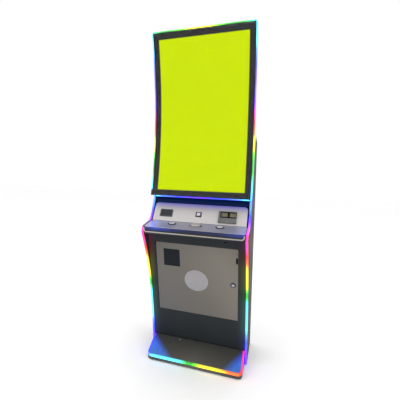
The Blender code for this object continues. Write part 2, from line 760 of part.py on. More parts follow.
def brow_light():
    """The straight light under the screen that washes the deck."""
    section = [(-0.0330, 1.0455), (-0.0330, 1.0560), (-0.0245, 1.0560), (-0.0245, 1.0455)]
    across("brow_light", section, -0.2905, 0.2905, "light_diffuser")


# ---------------------------------------------------------------- inside and behind
REAR_SPLIT = 0.880
REAR_DOOR_LOW = 0.115
REAR_HINGE_X = -0.2880
FAN_X = 0.0
FAN_Z = 1.150
BUTTON_ROW = 0.098


def rear_door(rear):
    pivot = axes("rear_pivot", (REAR_HINGE_X, 0, HINGE_LIFT), (1, 0, 0), (0, 1, 0), rear)
    door = axes("rear_door_axes", (-REAR_HINGE_X, 0, -HINGE_LIFT), (1, 0, 0), (0, 1, 0), pivot)
    left, right = REAR_HINGE_X + HINGE_GAP, INNER - 0.002
    low, high = REAR_DOOR_LOW, REAR_SPLIT - 0.002
    wall = 0.0015
    body = block("rear_door", (left, low, -DOOR_FLANGE), (right, high, 0), "charcoal_paint", door)
    pocket = block(
        "rear_pocket", (left + wall, low + wall, -0.03), (right - wall, high - wall, -SHEET),
        "steel", door,
    )
    cut(body, pocket)
    for row in range(7):
        y = 0.200 + 0.022 * row
        slot = rounded(-0.09, y, 0.09, y + 0.008, 0.0039, steps=3)
        cut(body, plate(f"rear_vent_{row}", slot, -0.02, 0.02, "steel", door))
    lock_x, lock_y = 0.0, 0.8600
    cut(body, plate("rear_lock_hole", circle(lock_x, lock_y, 0.0085), -0.02, 0.02, "steel", door))
    hinge("rear_hinge", rear, REAR_HINGE_X, low + 0.03, high - 0.03, 1, 7, "charcoal_paint")

    lock = axes("rear_lock_pivot", (lock_x, lock_y, 0), (1, 0, 0), (0, 1, 0), door)
    profile = [(0, -0.0172), (0.0080, -0.0172), (0.0080, GAP), (0.0105, GAP), (0.0105, 0.0020)]
    profile += [(0.0092, 0.0034), (0, 0.0034)]
    knob = turned("rear_lock", profile, (0, 0, 0), "chrome", lock)
    keyway = block("rear_keyway", (-0.0006, -0.0040, 0.0010), (0.0006, 0.0040, 0.01), "steel", lock)
    tongue = rounded(-0.0065, -0.0065, 0.0280, 0.0065, 0.0060, steps=3)
    cut(add(knob, plate("rear_tongue", tongue, -0.0170, -0.0150, "steel", lock)), keyway)


def power_panel(rear):
    inlet = block("power_inlet", (0.1610, 0.0460, -0.022), (0.2090, 0.0740, 0.0), "black_plastic", rear)
    socket = block(
        "inlet_socket", (0.1710, 0.0500, -0.016), (0.1990, 0.0700, 0.01), "black_plastic", rear
    )
    cut(inlet, socket)
    pivot = axes("rocker_axis", (0.130, 0.060, -0.0040), (1, 0, 0), (0, 1, 0), rear)
    section = [(-0.0125, 0.0062), (0.0, 0.0040), (0.0125, 0.0018), (0.0090, -0.0060)]
    section.append((-0.0090, -0.0060))
    rings = [[(x, y, z) for y, z in section] for x in (-0.0085, 0.0085)]
    loft("power_rocker", rings, "black_plastic", pivot)


def fan(rear):
    centre = (FAN_X, FAN_Z)
    low, high = -SHEET - GAP - 0.025, -SHEET - GAP
    outline = rounded(FAN_X - 0.060, FAN_Z - 0.060, FAN_X + 0.060, FAN_Z + 0.060, 0.006, steps=2)
    frame = plate("fan_frame", outline, low, high, "black_plastic", rear)
    tunnel = plate("fan_tunnel", circle(*centre, 0.0565, 32), low - 0.01, high + 0.01, "steel", rear)
    cut(frame, tunnel)
    spokes = []
    for name, x0, y0, x1, y1 in (("a", -0.058, -0.003, 0.058, 0.003), ("b", -0.003, -0.058, 0.003, 0.058)):
        spokes.append(
            block(
                f"fan_spoke_{name}", (FAN_X + x0, FAN_Z + y0, low), (FAN_X + x1, FAN_Z + y1, low + 0.003),
                "black_plastic", rear,
            )
        )
    add(frame, *spokes)
    axis = axes("fan_axis", (*centre, 0), (1, 0, 0), (0, 1, 0), rear)
    hub = [(0, low + 0.0040), (0.020, low + 0.0040), (0.020, high - 0.003), (0, high - 0.003)]
    rotor = turned("fan_rotor", hub, (0, 0, 0), "black_plastic", axis)
    for k in range(7):
        blade = fan_blade(f"fan_blade_{k}", 2 * math.pi * k / 7, low + 0.0055, high - 0.0045, axis)
        add(rotor, blade)


def fan_blade(name, turn, low, high, axis):
    """A pitched blade from the hub out to just inside the tunnel."""
    rings = []
    for radius in (0.0185, 0.0360, 0.0545):
        half = 0.30 if radius < 0.02 else 0.26
        ring = []
        for side, z in ((-half, low), (-half + 0.10, low), (half, high), (half - 0.10, high)):
            ring.append((radius * math.cos(turn + side), radius * math.sin(turn + side), z))
        rings.append(ring)
    return loft(name, rings, "black_plastic", axis)


def internals():
    half = INNER - 0.001
    shelf = block("equipment_shelf", (-half, 0.010, 0.3300), (half, 0.2700, 0.3325), "zinc_sheet")
    lip = block("shelf_lip", (-half, 0.010, 0.3150), (half, 0.0125, 0.3320), "zinc_sheet")
    add(shelf, lip)
    block("game_computer", (-0.230, 0.040, 0.3330), (0.060, 0.255, 0.4400), "zinc_sheet")
    block("power_supply", (-0.220, 0.060, 0.0155), (-0.060, 0.200, 0.0800), "zinc_sheet")
    for side, x in (("left", -0.20), ("right", 0.20)):
        low, high = 1.100, 1.200
        section = [(neck_y(low) + 0.004, low), (neck_y(high) + 0.004, high)]
        section += [(0.100, high), (0.100, low)]
        across(f"speaker_{side}", section, x - 0.045, x + 0.045, "black_plastic")


# ---------------------------------------------------------------- assembly
clear_scene()
MATERIALS = make_materials()
side_panels()
base()
rear_face = cabinet_skins()
front_face = slope("front_axes", FRONT_FOOT, FRONT_HEAD)
front_frame(front_face)
main_door(front_face)
upper_face, ledge_face = deck()
chrome_trim()
deck_devices(upper_face, ledge_face)
bill_unit()
screen()
brow_light()
rear_door(rear_face)
power_panel(rear_face)
fan(rear_face)
internals()
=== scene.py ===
"""The looks of the slot machine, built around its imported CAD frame.

Metres, +Z up, the player stands at -Y. Side-view points are (y, z). Each sloping face has a Face,
whose own X runs across the machine, Y up the slope and Z out towards the player.
"""

import json
import math
import random

import bmesh
import bpy
from mathutils import Matrix, Vector

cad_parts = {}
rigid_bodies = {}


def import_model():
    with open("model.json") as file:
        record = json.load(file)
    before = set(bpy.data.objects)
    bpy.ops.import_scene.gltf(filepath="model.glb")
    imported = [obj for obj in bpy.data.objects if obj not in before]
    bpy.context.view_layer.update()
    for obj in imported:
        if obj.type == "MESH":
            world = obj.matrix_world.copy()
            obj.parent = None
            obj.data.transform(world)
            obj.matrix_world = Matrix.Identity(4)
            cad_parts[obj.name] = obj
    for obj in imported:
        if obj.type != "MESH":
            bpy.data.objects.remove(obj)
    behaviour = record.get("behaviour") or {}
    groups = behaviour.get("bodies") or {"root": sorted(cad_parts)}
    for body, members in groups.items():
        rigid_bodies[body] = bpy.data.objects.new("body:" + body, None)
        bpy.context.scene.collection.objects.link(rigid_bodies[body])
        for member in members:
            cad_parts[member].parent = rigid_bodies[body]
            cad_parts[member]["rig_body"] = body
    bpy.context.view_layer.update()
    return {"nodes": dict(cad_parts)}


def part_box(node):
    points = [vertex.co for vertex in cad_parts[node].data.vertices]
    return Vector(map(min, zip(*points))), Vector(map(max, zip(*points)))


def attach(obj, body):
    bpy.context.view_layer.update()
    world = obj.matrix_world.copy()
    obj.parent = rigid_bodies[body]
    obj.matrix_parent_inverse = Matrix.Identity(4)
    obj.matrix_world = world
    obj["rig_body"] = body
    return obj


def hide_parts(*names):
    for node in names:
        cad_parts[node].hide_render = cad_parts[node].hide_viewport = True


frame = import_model()
random.seed(7)

# ---- camera
CAMERA_PLACE = (0.4328, -2.4448, 1.3592)
CAMERA_TILT = math.radians(84.7)
CAMERA_TURN = math.radians(24.2)
CAMERA_LENS = 34.11
CAMERA_SHIFT = (0.2333, -0.0405)

# ---- sizes shared with the frame
MM = 0.001
GAP = 0.0003
HALF_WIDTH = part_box("side_panel_right")[1][0]
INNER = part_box("side_panel_right")[0][0]
REAR_Y = 0.296

FRONT_FOOT, FRONT_HEAD = (-0.0150, 0.0970), (-0.1881, 0.8450)
LEDGE_FRONT, DECK_CREASE = (-0.2838, 0.8914), (-0.1307, 0.9036)
DECK_TOP = (-0.0400, 1.0071)
BASE_FRONT, BASE_REAR = (-0.196, 0.036), (-0.0170, 0.0963)

DOOR_HALF_WIDTH = 0.2475
DOOR_LOW, DOOR_HIGH = 0.2097, 0.6967
LOCK = (0.2197, 0.4554)
DISC_HEIGHT = 0.4532
DOOR_SLOT_FOOT = (0.2405, 0.601)
BUTTON_ROW = 0.098
ROUND_BUTTON_X = 0.1425
SQUARE_BUTTON_Y = 0.063

FAN_HEIGHT, FAN_SCREW = 1.150, 0.0525

CURVE_RADIUS = 1.600
SCREEN_CENTRE = (-1.6299, 1.5424)
ACTIVE_HALF_WIDTH = 0.2647
ACTIVE_LOW, ACTIVE_HIGH = math.radians(-16.06), math.radians(17.62)
SCREEN_LOW, SCREEN_HIGH = math.radians(-17.47), math.radians(19.37)
SCREEN_CORNER = 0.016
LIGHT_LOW_LEFT = math.radians(-16.10)
HOUSING_DEPTH = 0.055
LIGHT_WIDTH, BEZEL_INNER = 0.0065, 0.0135

# ---- colours, as seen (sRGB)
YELLOW = (252, 255, 0)
LIME = (150, 255, 0)
GREEN = (20, 225, 30)
AQUA = (80, 255, 205)
CYAN = (120, 250, 255)
SKY = (112, 190, 255)
BLUE = (65, 95, 255)
VIOLET = (130, 70, 250)
PURPLE = (150, 55, 250)
PINK = (255, 55, 205)
RED = (255, 25, 35)
ORANGE = (255, 140, 10)
LAVENDER = (205, 110, 255)
MAGENTA = (235, 60, 255)
LED_BOOST = (2.2, 1.9, 3.2)
LED_POWER = max(LED_BOOST)

SIDE_LIGHT_STOPS = (
    (0.000, PURPLE), (0.090, PURPLE), (0.125, BLUE), (0.160, BLUE), (0.205, SKY), (0.250, CYAN),
    (0.415, CYAN), (0.447, AQUA), (0.470, GREEN), (0.500, GREEN), (0.520, LIME), (0.550, YELLOW),
    (0.650, YELLOW), (0.705, ORANGE), (0.755, RED), (0.800, PINK), (0.880, PINK), (0.915, LAVENDER),
    (0.935, PURPLE), (0.962, BLUE), (1.005, SKY), (1.060, SKY), (1.110, CYAN), (1.160, CYAN), (1.210, AQUA),
    (1.260, AQUA), (1.320, LIME), (1.370, YELLOW), (1.440, YELLOW),
)
SCREEN_SIDE_STOPS = (
    (1.060, CYAN), (1.130, CYAN), (1.165, AQUA), (1.215, GREEN), (1.285, GREEN), (1.330, LIME),
    (1.360, YELLOW), (1.400, YELLOW), (1.445, ORANGE), (1.505, RED), (1.550, PINK),
    (1.625, MAGENTA), (1.700, LAVENDER), (1.755, VIOLET), (1.850, BLUE), (1.920, SKY),
    (1.970, CYAN), (2.075, CYAN),
)
SCREEN_TOP_STOPS = (
    (-0.306, CYAN), (-0.285, AQUA), (-0.250, GREEN), (-0.190, GREEN), (-0.110, LIME),
    (-0.050, YELLOW), (0.030, YELLOW), (0.090, LIME), (0.140, GREEN), (0.230, GREEN),
    (0.275, AQUA), (0.306, CYAN),
)
BROW_STOPS = (
    (-0.290, CYAN), (-0.250, SKY), (-0.145, BLUE), (-0.060, VIOLET), (0.015, PURPLE),
    (0.075, BLUE), (0.150, BLUE), (0.225, SKY), (0.270, CYAN), (0.290, CYAN),
)
BASE_STOPS = (
    (-0.470, BLUE), (-0.300, BLUE), (-0.285, SKY), (-0.250, CYAN), (-0.090, CYAN), (-0.060, AQUA),
    (-0.035, GREEN), (-0.005, GREEN), (0.020, LIME), (0.055, YELLOW), (0.140, YELLOW),
    (0.220, ORANGE), (0.270, ORANGE), (0.288, RED), (0.310, RED), (0.350, PINK), (0.470, PINK),
)


def linear(colour, full=(1.0, 1.0, 1.0)):
    """An sRGB colour from 0 to 255 as scene values. full holds what channels at their limit become."""
    made = []
    for value, limit in zip(colour, full):
        share = value / 255
        if value >= 250:
            made.append(limit)
        elif share <= 0.04045:
            made.append(share / 12.92)
        else:
            made.append(((share + 0.055) / 1.055) ** 2.4)
    return tuple(made)


# ---- materials
CHARCOAL = (0.022, 0.026, 0.029)


class Look:
    """A Principled material, and short ways to drive it from the frame's own coordinates."""

    def __init__(self, name, colour, roughness, metallic=0.0, **sockets):
        self.colour = colour
        self.material = bpy.data.materials.new(name)
        self.material.use_nodes = True
        self.tree = self.material.node_tree
        self.shader = self.tree.nodes["Principled BSDF"]
        self.place = self.tree.nodes.new("ShaderNodeTexCoord").outputs["Object"]
        self.set("Base Color", (*colour, 1.0))
        self.set("Roughness", roughness)
        self.set("Metallic", metallic)
        for socket, value in sockets.items():
            self.set(socket.replace("_", " "), value)

    def set(self, socket, value):
        self.shader.inputs[socket].default_value = value

    def drive(self, socket, output):
        self.tree.links.new(output, self.shader.inputs[socket])

    def node(self, kind, inputs, **settings):
        """A node with its settings and inputs. An input is a value, or another node's output."""
        made = self.tree.nodes.new("ShaderNode" + kind)
        for key, value in settings.items():
            setattr(made, key, value)
        for key, value in inputs.items():
            if isinstance(value, bpy.types.NodeSocket):
                self.tree.links.new(value, made.inputs[key])
            else:
                made.inputs[key].default_value = value
        return made

    def stretched(self, stretch):
        return self.node("Mapping", {"Vector": self.place, "Scale": stretch}).outputs[0]

    def noise(self, scale, detail=2.0, stretch=(1, 1, 1)):
        inputs = {"Vector": self.stretched(stretch), "Scale": scale, "Detail": detail}
        return self.node("TexNoise", inputs).outputs["Fac"]

    def cells(self, scale, stretch=(1, 1, 1), feature="F1"):
        inputs = {"Vector": self.stretched(stretch), "Scale": scale}
        return self.node("TexVoronoi", inputs, feature=feature).outputs["Distance"]

    def spread(self, value, low, high, start=0.3, end=0.7):
        inputs = {"Value": value, "From Min": start, "From Max": end, "To Min": low, "To Max": high}
        return self.node("MapRange", inputs).outputs["Result"]

    def math(self, operation, a, b=0.0):
        return self.node("Math", {0: a, 1: b}, operation=operation).outputs[0]

    def plus(self, a, b):
        return self.math("ADD", a, b)

    def minus(self, a, b):
        return self.math("SUBTRACT", a, b)

    def times(self, *factors):
        product = factors[0]
        for factor in factors[1:]:
            product = self.math("MULTIPLY", product, factor)
        return product

    def axis(self, name):
        return self.node("SeparateXYZ", {0: self.place}).outputs[name]

    def off_centre(self):
        """The distance to either side of the machine's middle plane."""
        return self.math("ABSOLUTE", self.axis("X"))

    def colours(self, value, stops):
        """A colour ramp over stops of (position, scene colour), with positions in value's units."""
        first, last = stops[0][0], stops[-1][0]
        share = self.spread(value, 0.0, 1.0, first, last)
        ramp = self.node("ValToRGB", {"Fac": share})
        elements = ramp.color_ramp.elements
        while len(elements) < len(stops):
            elements.new(0.5)
        for element, (position, colour) in zip(elements, stops):
            element.position = (position - first) / (last - first)
            element.color = (*colour, 1.0)
        return ramp.outputs["Color"]

    def blend(self, value, dark, light):
        self.drive("Base Color", self.colours(value, ((0.3, dark), (0.7, light))))

    def tint(self, value, dark, light):
        """Base colour between two shares of the look's own colour."""
        self.blend(value, shade(self.colour, dark), shade(self.colour, light))

    def rough(self, value, low, high, start=0.3, end=0.7):
        self.drive("Roughness", self.spread(value, low, high, start, end))

    def glow(self, colour, level):
        self.drive("Emission Color", colour)
        self.drive("Emission Strength", level)

    def bump(self, height, distance):
        inputs = {"Height": height, "Distance": distance}
        self.drive("Normal", self.node("Bump", inputs).outputs["Normal"])

    def finish(self, tint, rough, bump, throw=None):
        """Drives colour, roughness and bump, each from a pattern and its range."""
        self.tint(*tint)
        self.rough(*rough)
        self.bump(*bump)
        if throw:
            throw(self)
        return self.material


def shade(colour, factor):
    return tuple(min(1.0, c * factor) for c in colour)


def powder_coat(name, colour, roughness=0.45, peel=420, depth=0.00004, variation=0.10, shine=0.2,
                throw=None):
    """Paint with a fine orange peel, slow colour drift and worn, shinier patches."""
    look = Look(name, colour, roughness, Specular_IOR_Level=shine)
    return look.finish(
        (look.noise(3.5, 4), 1 - variation, 1 + variation),
        (look.noise(9, 5), roughness - 0.06, roughness + 0.08),
        (look.noise(peel, 2), depth * 4),
        throw,
    )


def laminate():
    """Black board laminate: a soft satin with a faint upright grain and rubbed patches."""
    look = Look("black_laminate", (0.034, 0.030, 0.026), 0.5, Specular_IOR_Level=0.06)
    grain = look.noise(55, 5, (6, 6, 0.35))
    return look.finish((grain, 0.75, 1.5), (look.noise(6, 4), 0.45, 0.6), (grain, 0.00010))


def metallic_paint(name, colour, roughness=0.38, throw=None):
    """Silver paint: flakes too fine to see one by one, and a slow drift, under a thin clear coat."""
    look = Look(name, colour, roughness, 0.30, Coat_Weight=0.12, Coat_Roughness=0.30)
    return look.finish(
        (look.noise(2.5, 3), 0.96, 1.04),
        (look.noise(5, 4), roughness - 0.03, roughness + 0.04),
        (look.noise(1400, 2), 0.00001),
        throw,
    )


def moulding(name, colour, roughness=0.45, grain=1500, depth=0.00006, drift=0.2, **sockets):
    """Moulded plastic with a fine leather-like grain."""
    look = Look(name, colour, roughness, **sockets)
    return look.finish(
        (look.noise(22, 4), 1 - drift, 1 + drift),
        (look.noise(30, 3), roughness - 0.05, roughness + 0.06),
        (look.cells(grain), depth),
    )


def gloss(name, colour, shine=0.35, throw=None):
    """Polished dark moulding with hairline swirls in its shine."""
    look = Look(name, colour, 0.12, Specular_IOR_Level=shine)
    swirls = look.noise(40, 5, (1, 6, 6))
    return look.finish(
        (look.noise(12, 3), 0.9, 1.12), (swirls, 0.10, 0.20), (look.noise(900, 2), 0.00001), throw
    )


def foot_throw(look):
    """The side strips' light painted on the footrest as a glow: a blue wedge opens forward from each rear
    corner.
    """
    reach = look.minus(BASE_REAR[0], look.axis("Y"))
    inward = look.minus(INNER, look.off_centre())
    slope = look.minus(0.78, look.times(look.math("SIGN", look.axis("X")), 0.14))
    inside = look.minus(look.times(reach, slope), inward)
    wedge = look.spread(inside, 0.0, 1.0, -0.014, 0.046)
    top = look.math("GREATER_THAN", base_height(look), -0.003)
    fade = look.spread(reach, 1.05, 0.50, 0.0, 0.18)
    rays = look.spread(look.noise(60, 2, (2.5, 0.2, 0.2)), 0.70, 1.20)
    colour = look.colours(reach, ((0.0, (0.004, 0.020, 1.0)), (0.18, (0.0, 0.24, 1.0))))
    look.glow(colour, look.times(wedge, top, look.times(fade, rays)))


def front_throw(look):
    """The side strips' light painted on the front frame as a glow in their colours, within a few
    centimetres of each strip.
    """
    near = look.math("POWER", look.spread(look.off_centre(), 0.0, 1.0, 0.235, INNER), 2.0)
    stops = [(place, linear(colour)) for place, colour in SIDE_LIGHT_STOPS]
    look.glow(look.colours(look.axis("Z"), stops), look.times(near, 0.075))


def base_sheen(look):
    """A painted sheen: the footrest's paint is lighter towards its front middle, with a random mottle. The
    side strips' light is painted on it too.
    """
    forward = look.spread(look.axis("Y"), 1.0, 0.0, BASE_FRONT[0], BASE_REAR[0])
    middle = look.spread(look.off_centre(), 1.0, 0.2, 0.0, 0.26)
    gradient_and_mottle = look.plus(look.times(forward, middle), look.times(look.noise(30, 4), 0.12))
    stops = ((0.0, (0.040, 0.041, 0.038)), (1.0, (0.105, 0.100, 0.086)))
    look.drive("Base Color", look.colours(gradient_and_mottle, stops))
    foot_throw(look)


def door_tone_gradient(look):
    """The door's paint is a little darker and cooler towards its lower left."""
    share = look.plus(look.times(look.axis("X"), 1.2), look.times(look.axis("Z"), 0.6))
    gradient_and_mottle = look.plus(share, look.times(look.noise(3.5, 4), 0.08))
    stops = ((-0.05, (0.128, 0.124, 0.122)), (0.32, (0.142, 0.130, 0.115)))
    stops += ((0.62, (0.185, 0.168, 0.143)),)
    look.drive("Base Color", look.colours(gradient_and_mottle, stops))


def blue_light(look, levels):
    """Painted blue light, a glow that changes across the machine. levels holds (x, strength) pairs."""
    stops = [(x, (0.05 * level, 0.12 * level, level)) for x, level in levels]
    look.drive("Emission Color", look.colours(look.axis("X"), stops))


def ledge_throw(look):
    """The side strips' blue light, painted as a glow at both ends of the button ledge."""
    levels = ((-0.290, 0.10), (-0.255, 0.34), (-0.205, 0.12), (-0.110, 0.01), (0.150, 0.01))
    blue_light(look, levels + ((0.225, 0.04), (0.278, 0.20), (0.290, 0.16)))
    look.set("Emission Strength", 1.0)


def fascia_throw(look):
    """A painted reflection of the strips' blue light, a glow along the roll over the fascia, strongest near
    its ends.
    """
    levels = ((-0.290, 0.12), (-0.215, 0.50), (-0.120, 0.12), (0.0, 0.04), (0.150, 0.05))
    blue_light(look, levels + ((0.250, 0.26), (0.290, 0.30)))
    look.drive("Emission Strength", look.spread(look.axis("Z"), 0.0, 1.0, 0.866, 0.886))


def deck_throw(look):
    """The deck's top edge rolls back, so painted shade makes it darker, and the light of the strip above it
    is painted on as a violet tint and a glow.
    """
    height = look.axis("Z")
    stops = ((0.975, (0.57, 0.54, 0.53)), (0.992, (0.44, 0.41, 0.50)), (1.006, (0.20, 0.19, 0.30)))
    look.drive("Base Color", look.colours(height, stops))
    look.set("Emission Color", (0.16, 0.14, 1.0, 1.0))
    look.drive("Emission Strength", look.spread(height, 0.0, 0.30, 0.982, 1.006))


def neck_throw(look):
    """The same strip's light is painted on the foot of the neck panel behind it as a glow."""
    look.set("Emission Color", (0.0005, 0.008, 0.055, 1.0))
    look.drive("Emission Strength", look.spread(look.axis("Z"), 1.0, 0.15, 1.0, 1.07))


def bright_metal(name, colour, roughness, scratch=(1, 1, 1), depth=0.00002):
    """Plated or brushed metal. scratch stretches the marks along the shorter scale."""
    look = Look(name, colour, roughness, 1.0)
    marks = look.noise(220, 6, scratch)
    return look.finish(
        (marks, 0.90, 1.06), (marks, roughness * 0.75, roughness * 1.35), (marks, depth)
    )


def zinc():
    """Zinc-plated sheet with its pale spangle."""
    look = Look("zinc_sheet", (0.46, 0.47, 0.48), 0.42, 0.9)
    return look.finish(
        (look.cells(60), 1.15, 0.8), (look.noise(45, 4), 0.34, 0.55), (look.noise(300, 3), 0.00003)
    )


def rubber():
    look = Look("rubber", (0.018, 0.018, 0.019), 0.82)
    return look.finish(
        (look.noise(60, 4), 0.7, 1.7), (look.noise(90, 3), 0.72, 0.92), (look.noise(700, 3), 0.00008)
    )


def cover_glass():
    """Clear glass with an anti-reflection coat, whose polish carries a few faint wiping marks."""
    look = Look("cover_glass", (1.0, 1.0, 1.0), 0.02, IOR=1.16, Transmission_Weight=1.0)
    wipes = look.noise(7, 6, (1, 1, 4))
    look.blend(wipes, (0.97, 0.98, 0.98), (1.0, 1.0, 1.0))
    look.rough(wipes, 0.0, 0.035, 0.45, 0.75)
    look.bump(look.noise(14, 2), 0.00002)
    return look.material


def screen_picture():
    """The lit panel: one plain colour with a slow drift, over a fine cell grid."""
    look = Look("screen_lit", (0.02, 0.03, 0.0), 0.5, Emission_Strength=1.0, Specular_IOR_Level=0.0)
    slow = look.noise(1.6, 3)
    body = look.colours(slow, ((0.3, linear((204, 229, 0))), (0.7, linear((208, 234, 0)))))
    look.drive("Emission Color", body)
    look.blend(look.noise(800, 1), (0.004, 0.005, 0.0), (0.006, 0.008, 0.0))
    look.bump(look.cells(3000), 0.00002)
    return look.material


def led(name, coordinate, stops, offset, half):
    """A lit diffuser. Its colour runs along the strip, and it dims from the middle to both edges.

    coordinate and offset are functions of the look: the place along the strip, and the distance
    from its middle line. half is the distance at which it is dimmest.
    """
    look = Look(name, (0.05, 0.05, 0.05), 0.28)
    scene_stops = []
    for position, colour in stops:
        scene_stops.append((position, tuple(c / LED_POWER for c in linear(colour, LED_BOOST))))
    look.drive("Emission Color", look.colours(coordinate(look), scene_stops))
    share = look.math("DIVIDE", look.math("ABSOLUTE", offset(look)), half)
    edge = look.times(look.math("POWER", share, 3.0), -0.66)
    level = look.times(look.math("MAXIMUM", look.plus(edge, 1.0), 0.30), LED_POWER)
    if name == "led_side":
        level = look.times(level, unlit_corner(look))
    look.drive("Emission Strength", level)
    look.tint(look.noise(160, 2), 0.7, 1.4)
    look.bump(look.noise(500, 2), 0.00004)
    return look.material


def unlit_corner(look):
    """Low on the left strip's bend round the front corner of the ledge, where no lamp sits."""
    left = look.math("LESS_THAN", look.axis("X"), 0.0)
    above = look.math("GREATER_THAN", look.axis("Z"), 0.884)
    below = look.math("LESS_THAN", look.axis("Z"), 0.9035)
    return look.minus(1.0, look.times(left, look.times(above, below), 0.93))


def across_side(middle):
    """The distance from the line |x| = middle."""
    return lambda look: look.minus(look.off_centre(), middle)


def across_height(middle):
    """The distance from the line z = middle."""
    return lambda look: look.minus(look.axis("Z"), middle)


def round_the_base(look):
    """A coordinate that runs along the front of the footrest and on round both sides."""
    depth = look.minus(look.axis("Y"), BASE_FRONT[0])
    return look.plus(look.axis("X"), look.times(look.math("SIGN", look.axis("X")), depth))


def base_height(look):
    """The height above the footrest's top, which rises towards the rear."""
    rise = (BASE_REAR[1] - BASE_FRONT[1]) / (BASE_REAR[0] - BASE_FRONT[0])
    climb = look.times(look.minus(look.axis("Y"), BASE_FRONT[0]), rise)
    return look.minus(look.axis("Z"), look.plus(climb, BASE_FRONT[1]))


def across_base(look):
    """The height above the middle line of the footrest's strip."""
    return look.plus(base_height(look), 0.0070)


def lamp(name, colour, strength):
    """A cap of white plastic with a lamp behind it."""
    look = Look(name, colour, 0.22, Coat_Weight=0.5, Coat_Roughness=0.05, Emission_Strength=strength)
    look.set("Emission Color", (*colour, 1.0))
    return look.finish(
        (look.noise(60, 3), 0.92, 1.05), (look.noise(90, 3), 0.16, 0.30), (look.noise(400, 2), 0.00003)
    )


def board_green():
    look = Look("circuit_board", (0.012, 0.09, 0.035), 0.35)
    tracks = look.cells(420)
    return look.finish((tracks, 1.5, 0.7), (look.noise(200, 2), 0.28, 0.45), (tracks, 0.00008))


def make_looks():
    """Every material of the machine, by a short name."""
    return {
        "laminate": laminate(),
        "charcoal": powder_coat("charcoal_paint", CHARCOAL, 0.42, shine=0.12),
        "front": powder_coat("front_paint", CHARCOAL, 0.42, shine=0.12, throw=front_throw),
        "neck": gloss("neck_gloss", (0.002, 0.007, 0.022), 0.06, neck_throw),
        "base": powder_coat(
            "base_paint", (0.052, 0.052, 0.046), 0.36, 300, shine=0.3, throw=base_sheen
        ),
        "door": powder_coat("warm_grey_paint", (0.152, 0.138, 0.122), 0.46, throw=door_tone_gradient),
        "plate": powder_coat("plate_paint", (0.011, 0.014, 0.019), 0.40, shine=0.08),
        "deck": metallic_paint("silver_paint", (0.57, 0.54, 0.53), 0.38, deck_throw),
        "ledge": metallic_paint("ledge_paint", (0.34, 0.34, 0.38), 0.30, ledge_throw),
        "gloss": gloss("black_gloss", (0.010, 0.011, 0.013)),
        "fascia": gloss("fascia_gloss", (0.008, 0.010, 0.022), 0.35, fascia_throw),
        "border": gloss("screen_border", (0.024, 0.024, 0.026), 0.15),
        "pitch": moulding("pitch_black", (0.003, 0.003, 0.004), 0.6, Specular_IOR_Level=0.05),
        "black": moulding("black_plastic", (0.014, 0.014, 0.016)),
        "slate": moulding("slate_plastic", (0.036, 0.037, 0.050)),
        "grey": moulding("grey_plastic", (0.132, 0.132, 0.124), 0.4),
        "case": moulding("equipment_case", (0.10, 0.11, 0.12), 0.5),
        "disc": moulding(
            "disc_grey", (0.30, 0.29, 0.30), 0.40, 700, 0.00001, 0.03, Specular_IOR_Level=0.2
        ),
        "violet": moulding("violet_plastic", (0.008, 0.003, 0.07), 0.4, Specular_IOR_Level=0.05),
        "foam": moulding("seal_foam", (0.02, 0.02, 0.02), 0.9, 900, 0.0003),
        "cable_red": moulding("cable_red", (0.35, 0.02, 0.02), 0.4),
        "cable_blue": moulding("cable_blue", (0.02, 0.05, 0.30), 0.4),
        "cable_black": moulding("cable_black", (0.02, 0.02, 0.02), 0.5),
        "chrome": bright_metal("chrome", (0.80, 0.79, 0.77), 0.08),
        "trim": bright_metal("trim_metal", (0.40, 0.37, 0.32), 0.34),
        "lock": bright_metal("lock_metal", (0.42, 0.42, 0.44), 0.30),
        "steel": bright_metal("steel", (0.56, 0.57, 0.58), 0.32, (1, 12, 12)),
        "brass": bright_metal("brass_mesh", (0.86, 0.78, 0.55), 0.50),
        "zinc": zinc(),
        "rubber": rubber(),
        "glass": cover_glass(),
        "picture": screen_picture(),
        "cap": lamp("white_lens", (0.50, 0.50, 0.54), 0.02),
        "pilot": lamp("service_lens", (0.52, 0.50, 0.55), 0.06),
        "spin": lamp("spin_lens", (0.44, 0.41, 0.38), 0.02),
        "smoke": bright_metal("smoked_chrome", (0.30, 0.27, 0.24), 0.30),
        "rim": bright_metal("rim_metal", (0.62, 0.58, 0.52), 0.26),
        "status": gloss("status_picture", (0.022, 0.023, 0.028)),
        "board": board_green(),
    }


def along(axis):
    """The place along one of the frame's axes."""
    return lambda look: look.axis(axis)


def make_led_looks():
    panel_middle = (INNER + HALF_WIDTH) / 2
    edge_middle = HALF_WIDTH - 0.5 * LIGHT_WIDTH
    low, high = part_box("brow_light")
    brow_middle = (low[2] + high[2]) / 2
    top_middle = screen_point(SCREEN_HIGH, 0.0)[1] - 0.5 * LIGHT_WIDTH
    strips = (
        ("led_side", along("Z"), SIDE_LIGHT_STOPS, across_side(panel_middle), 0.0065),
        ("led_screen_side", along("Z"), SCREEN_SIDE_STOPS, across_side(edge_middle), 0.0033),
        ("led_screen_top", along("X"), SCREEN_TOP_STOPS, across_height(top_middle), 0.0040),
        ("led_brow", along("X"), BROW_STOPS, across_height(brow_middle), 0.0055),
        ("led_base", round_the_base, BASE_STOPS, across_base, 0.0075),
    )
    return {strip[0]: led(*strip) for strip in strips}


# ---- mesh helpers
class Face:
    """A plane that slopes in the side view from foot to head. at() places points on it."""

    def __init__(self, foot, head, turned=False):
        self.length = math.dist(foot, head)
        x_dir = Vector((-1, 0, 0)) if turned else Vector((1, 0, 0))
        y_dir = Vector((0, head[0] - foot[0], head[1] - foot[1])).normalized()
        self.matrix = Matrix((x_dir, y_dir, x_dir.cross(y_dir))).transposed().to_4x4()
        self.matrix.translation = (0, *foot)

    def at(self, x, y, z=0.0):
        return self.matrix @ Vector((x, y, z))


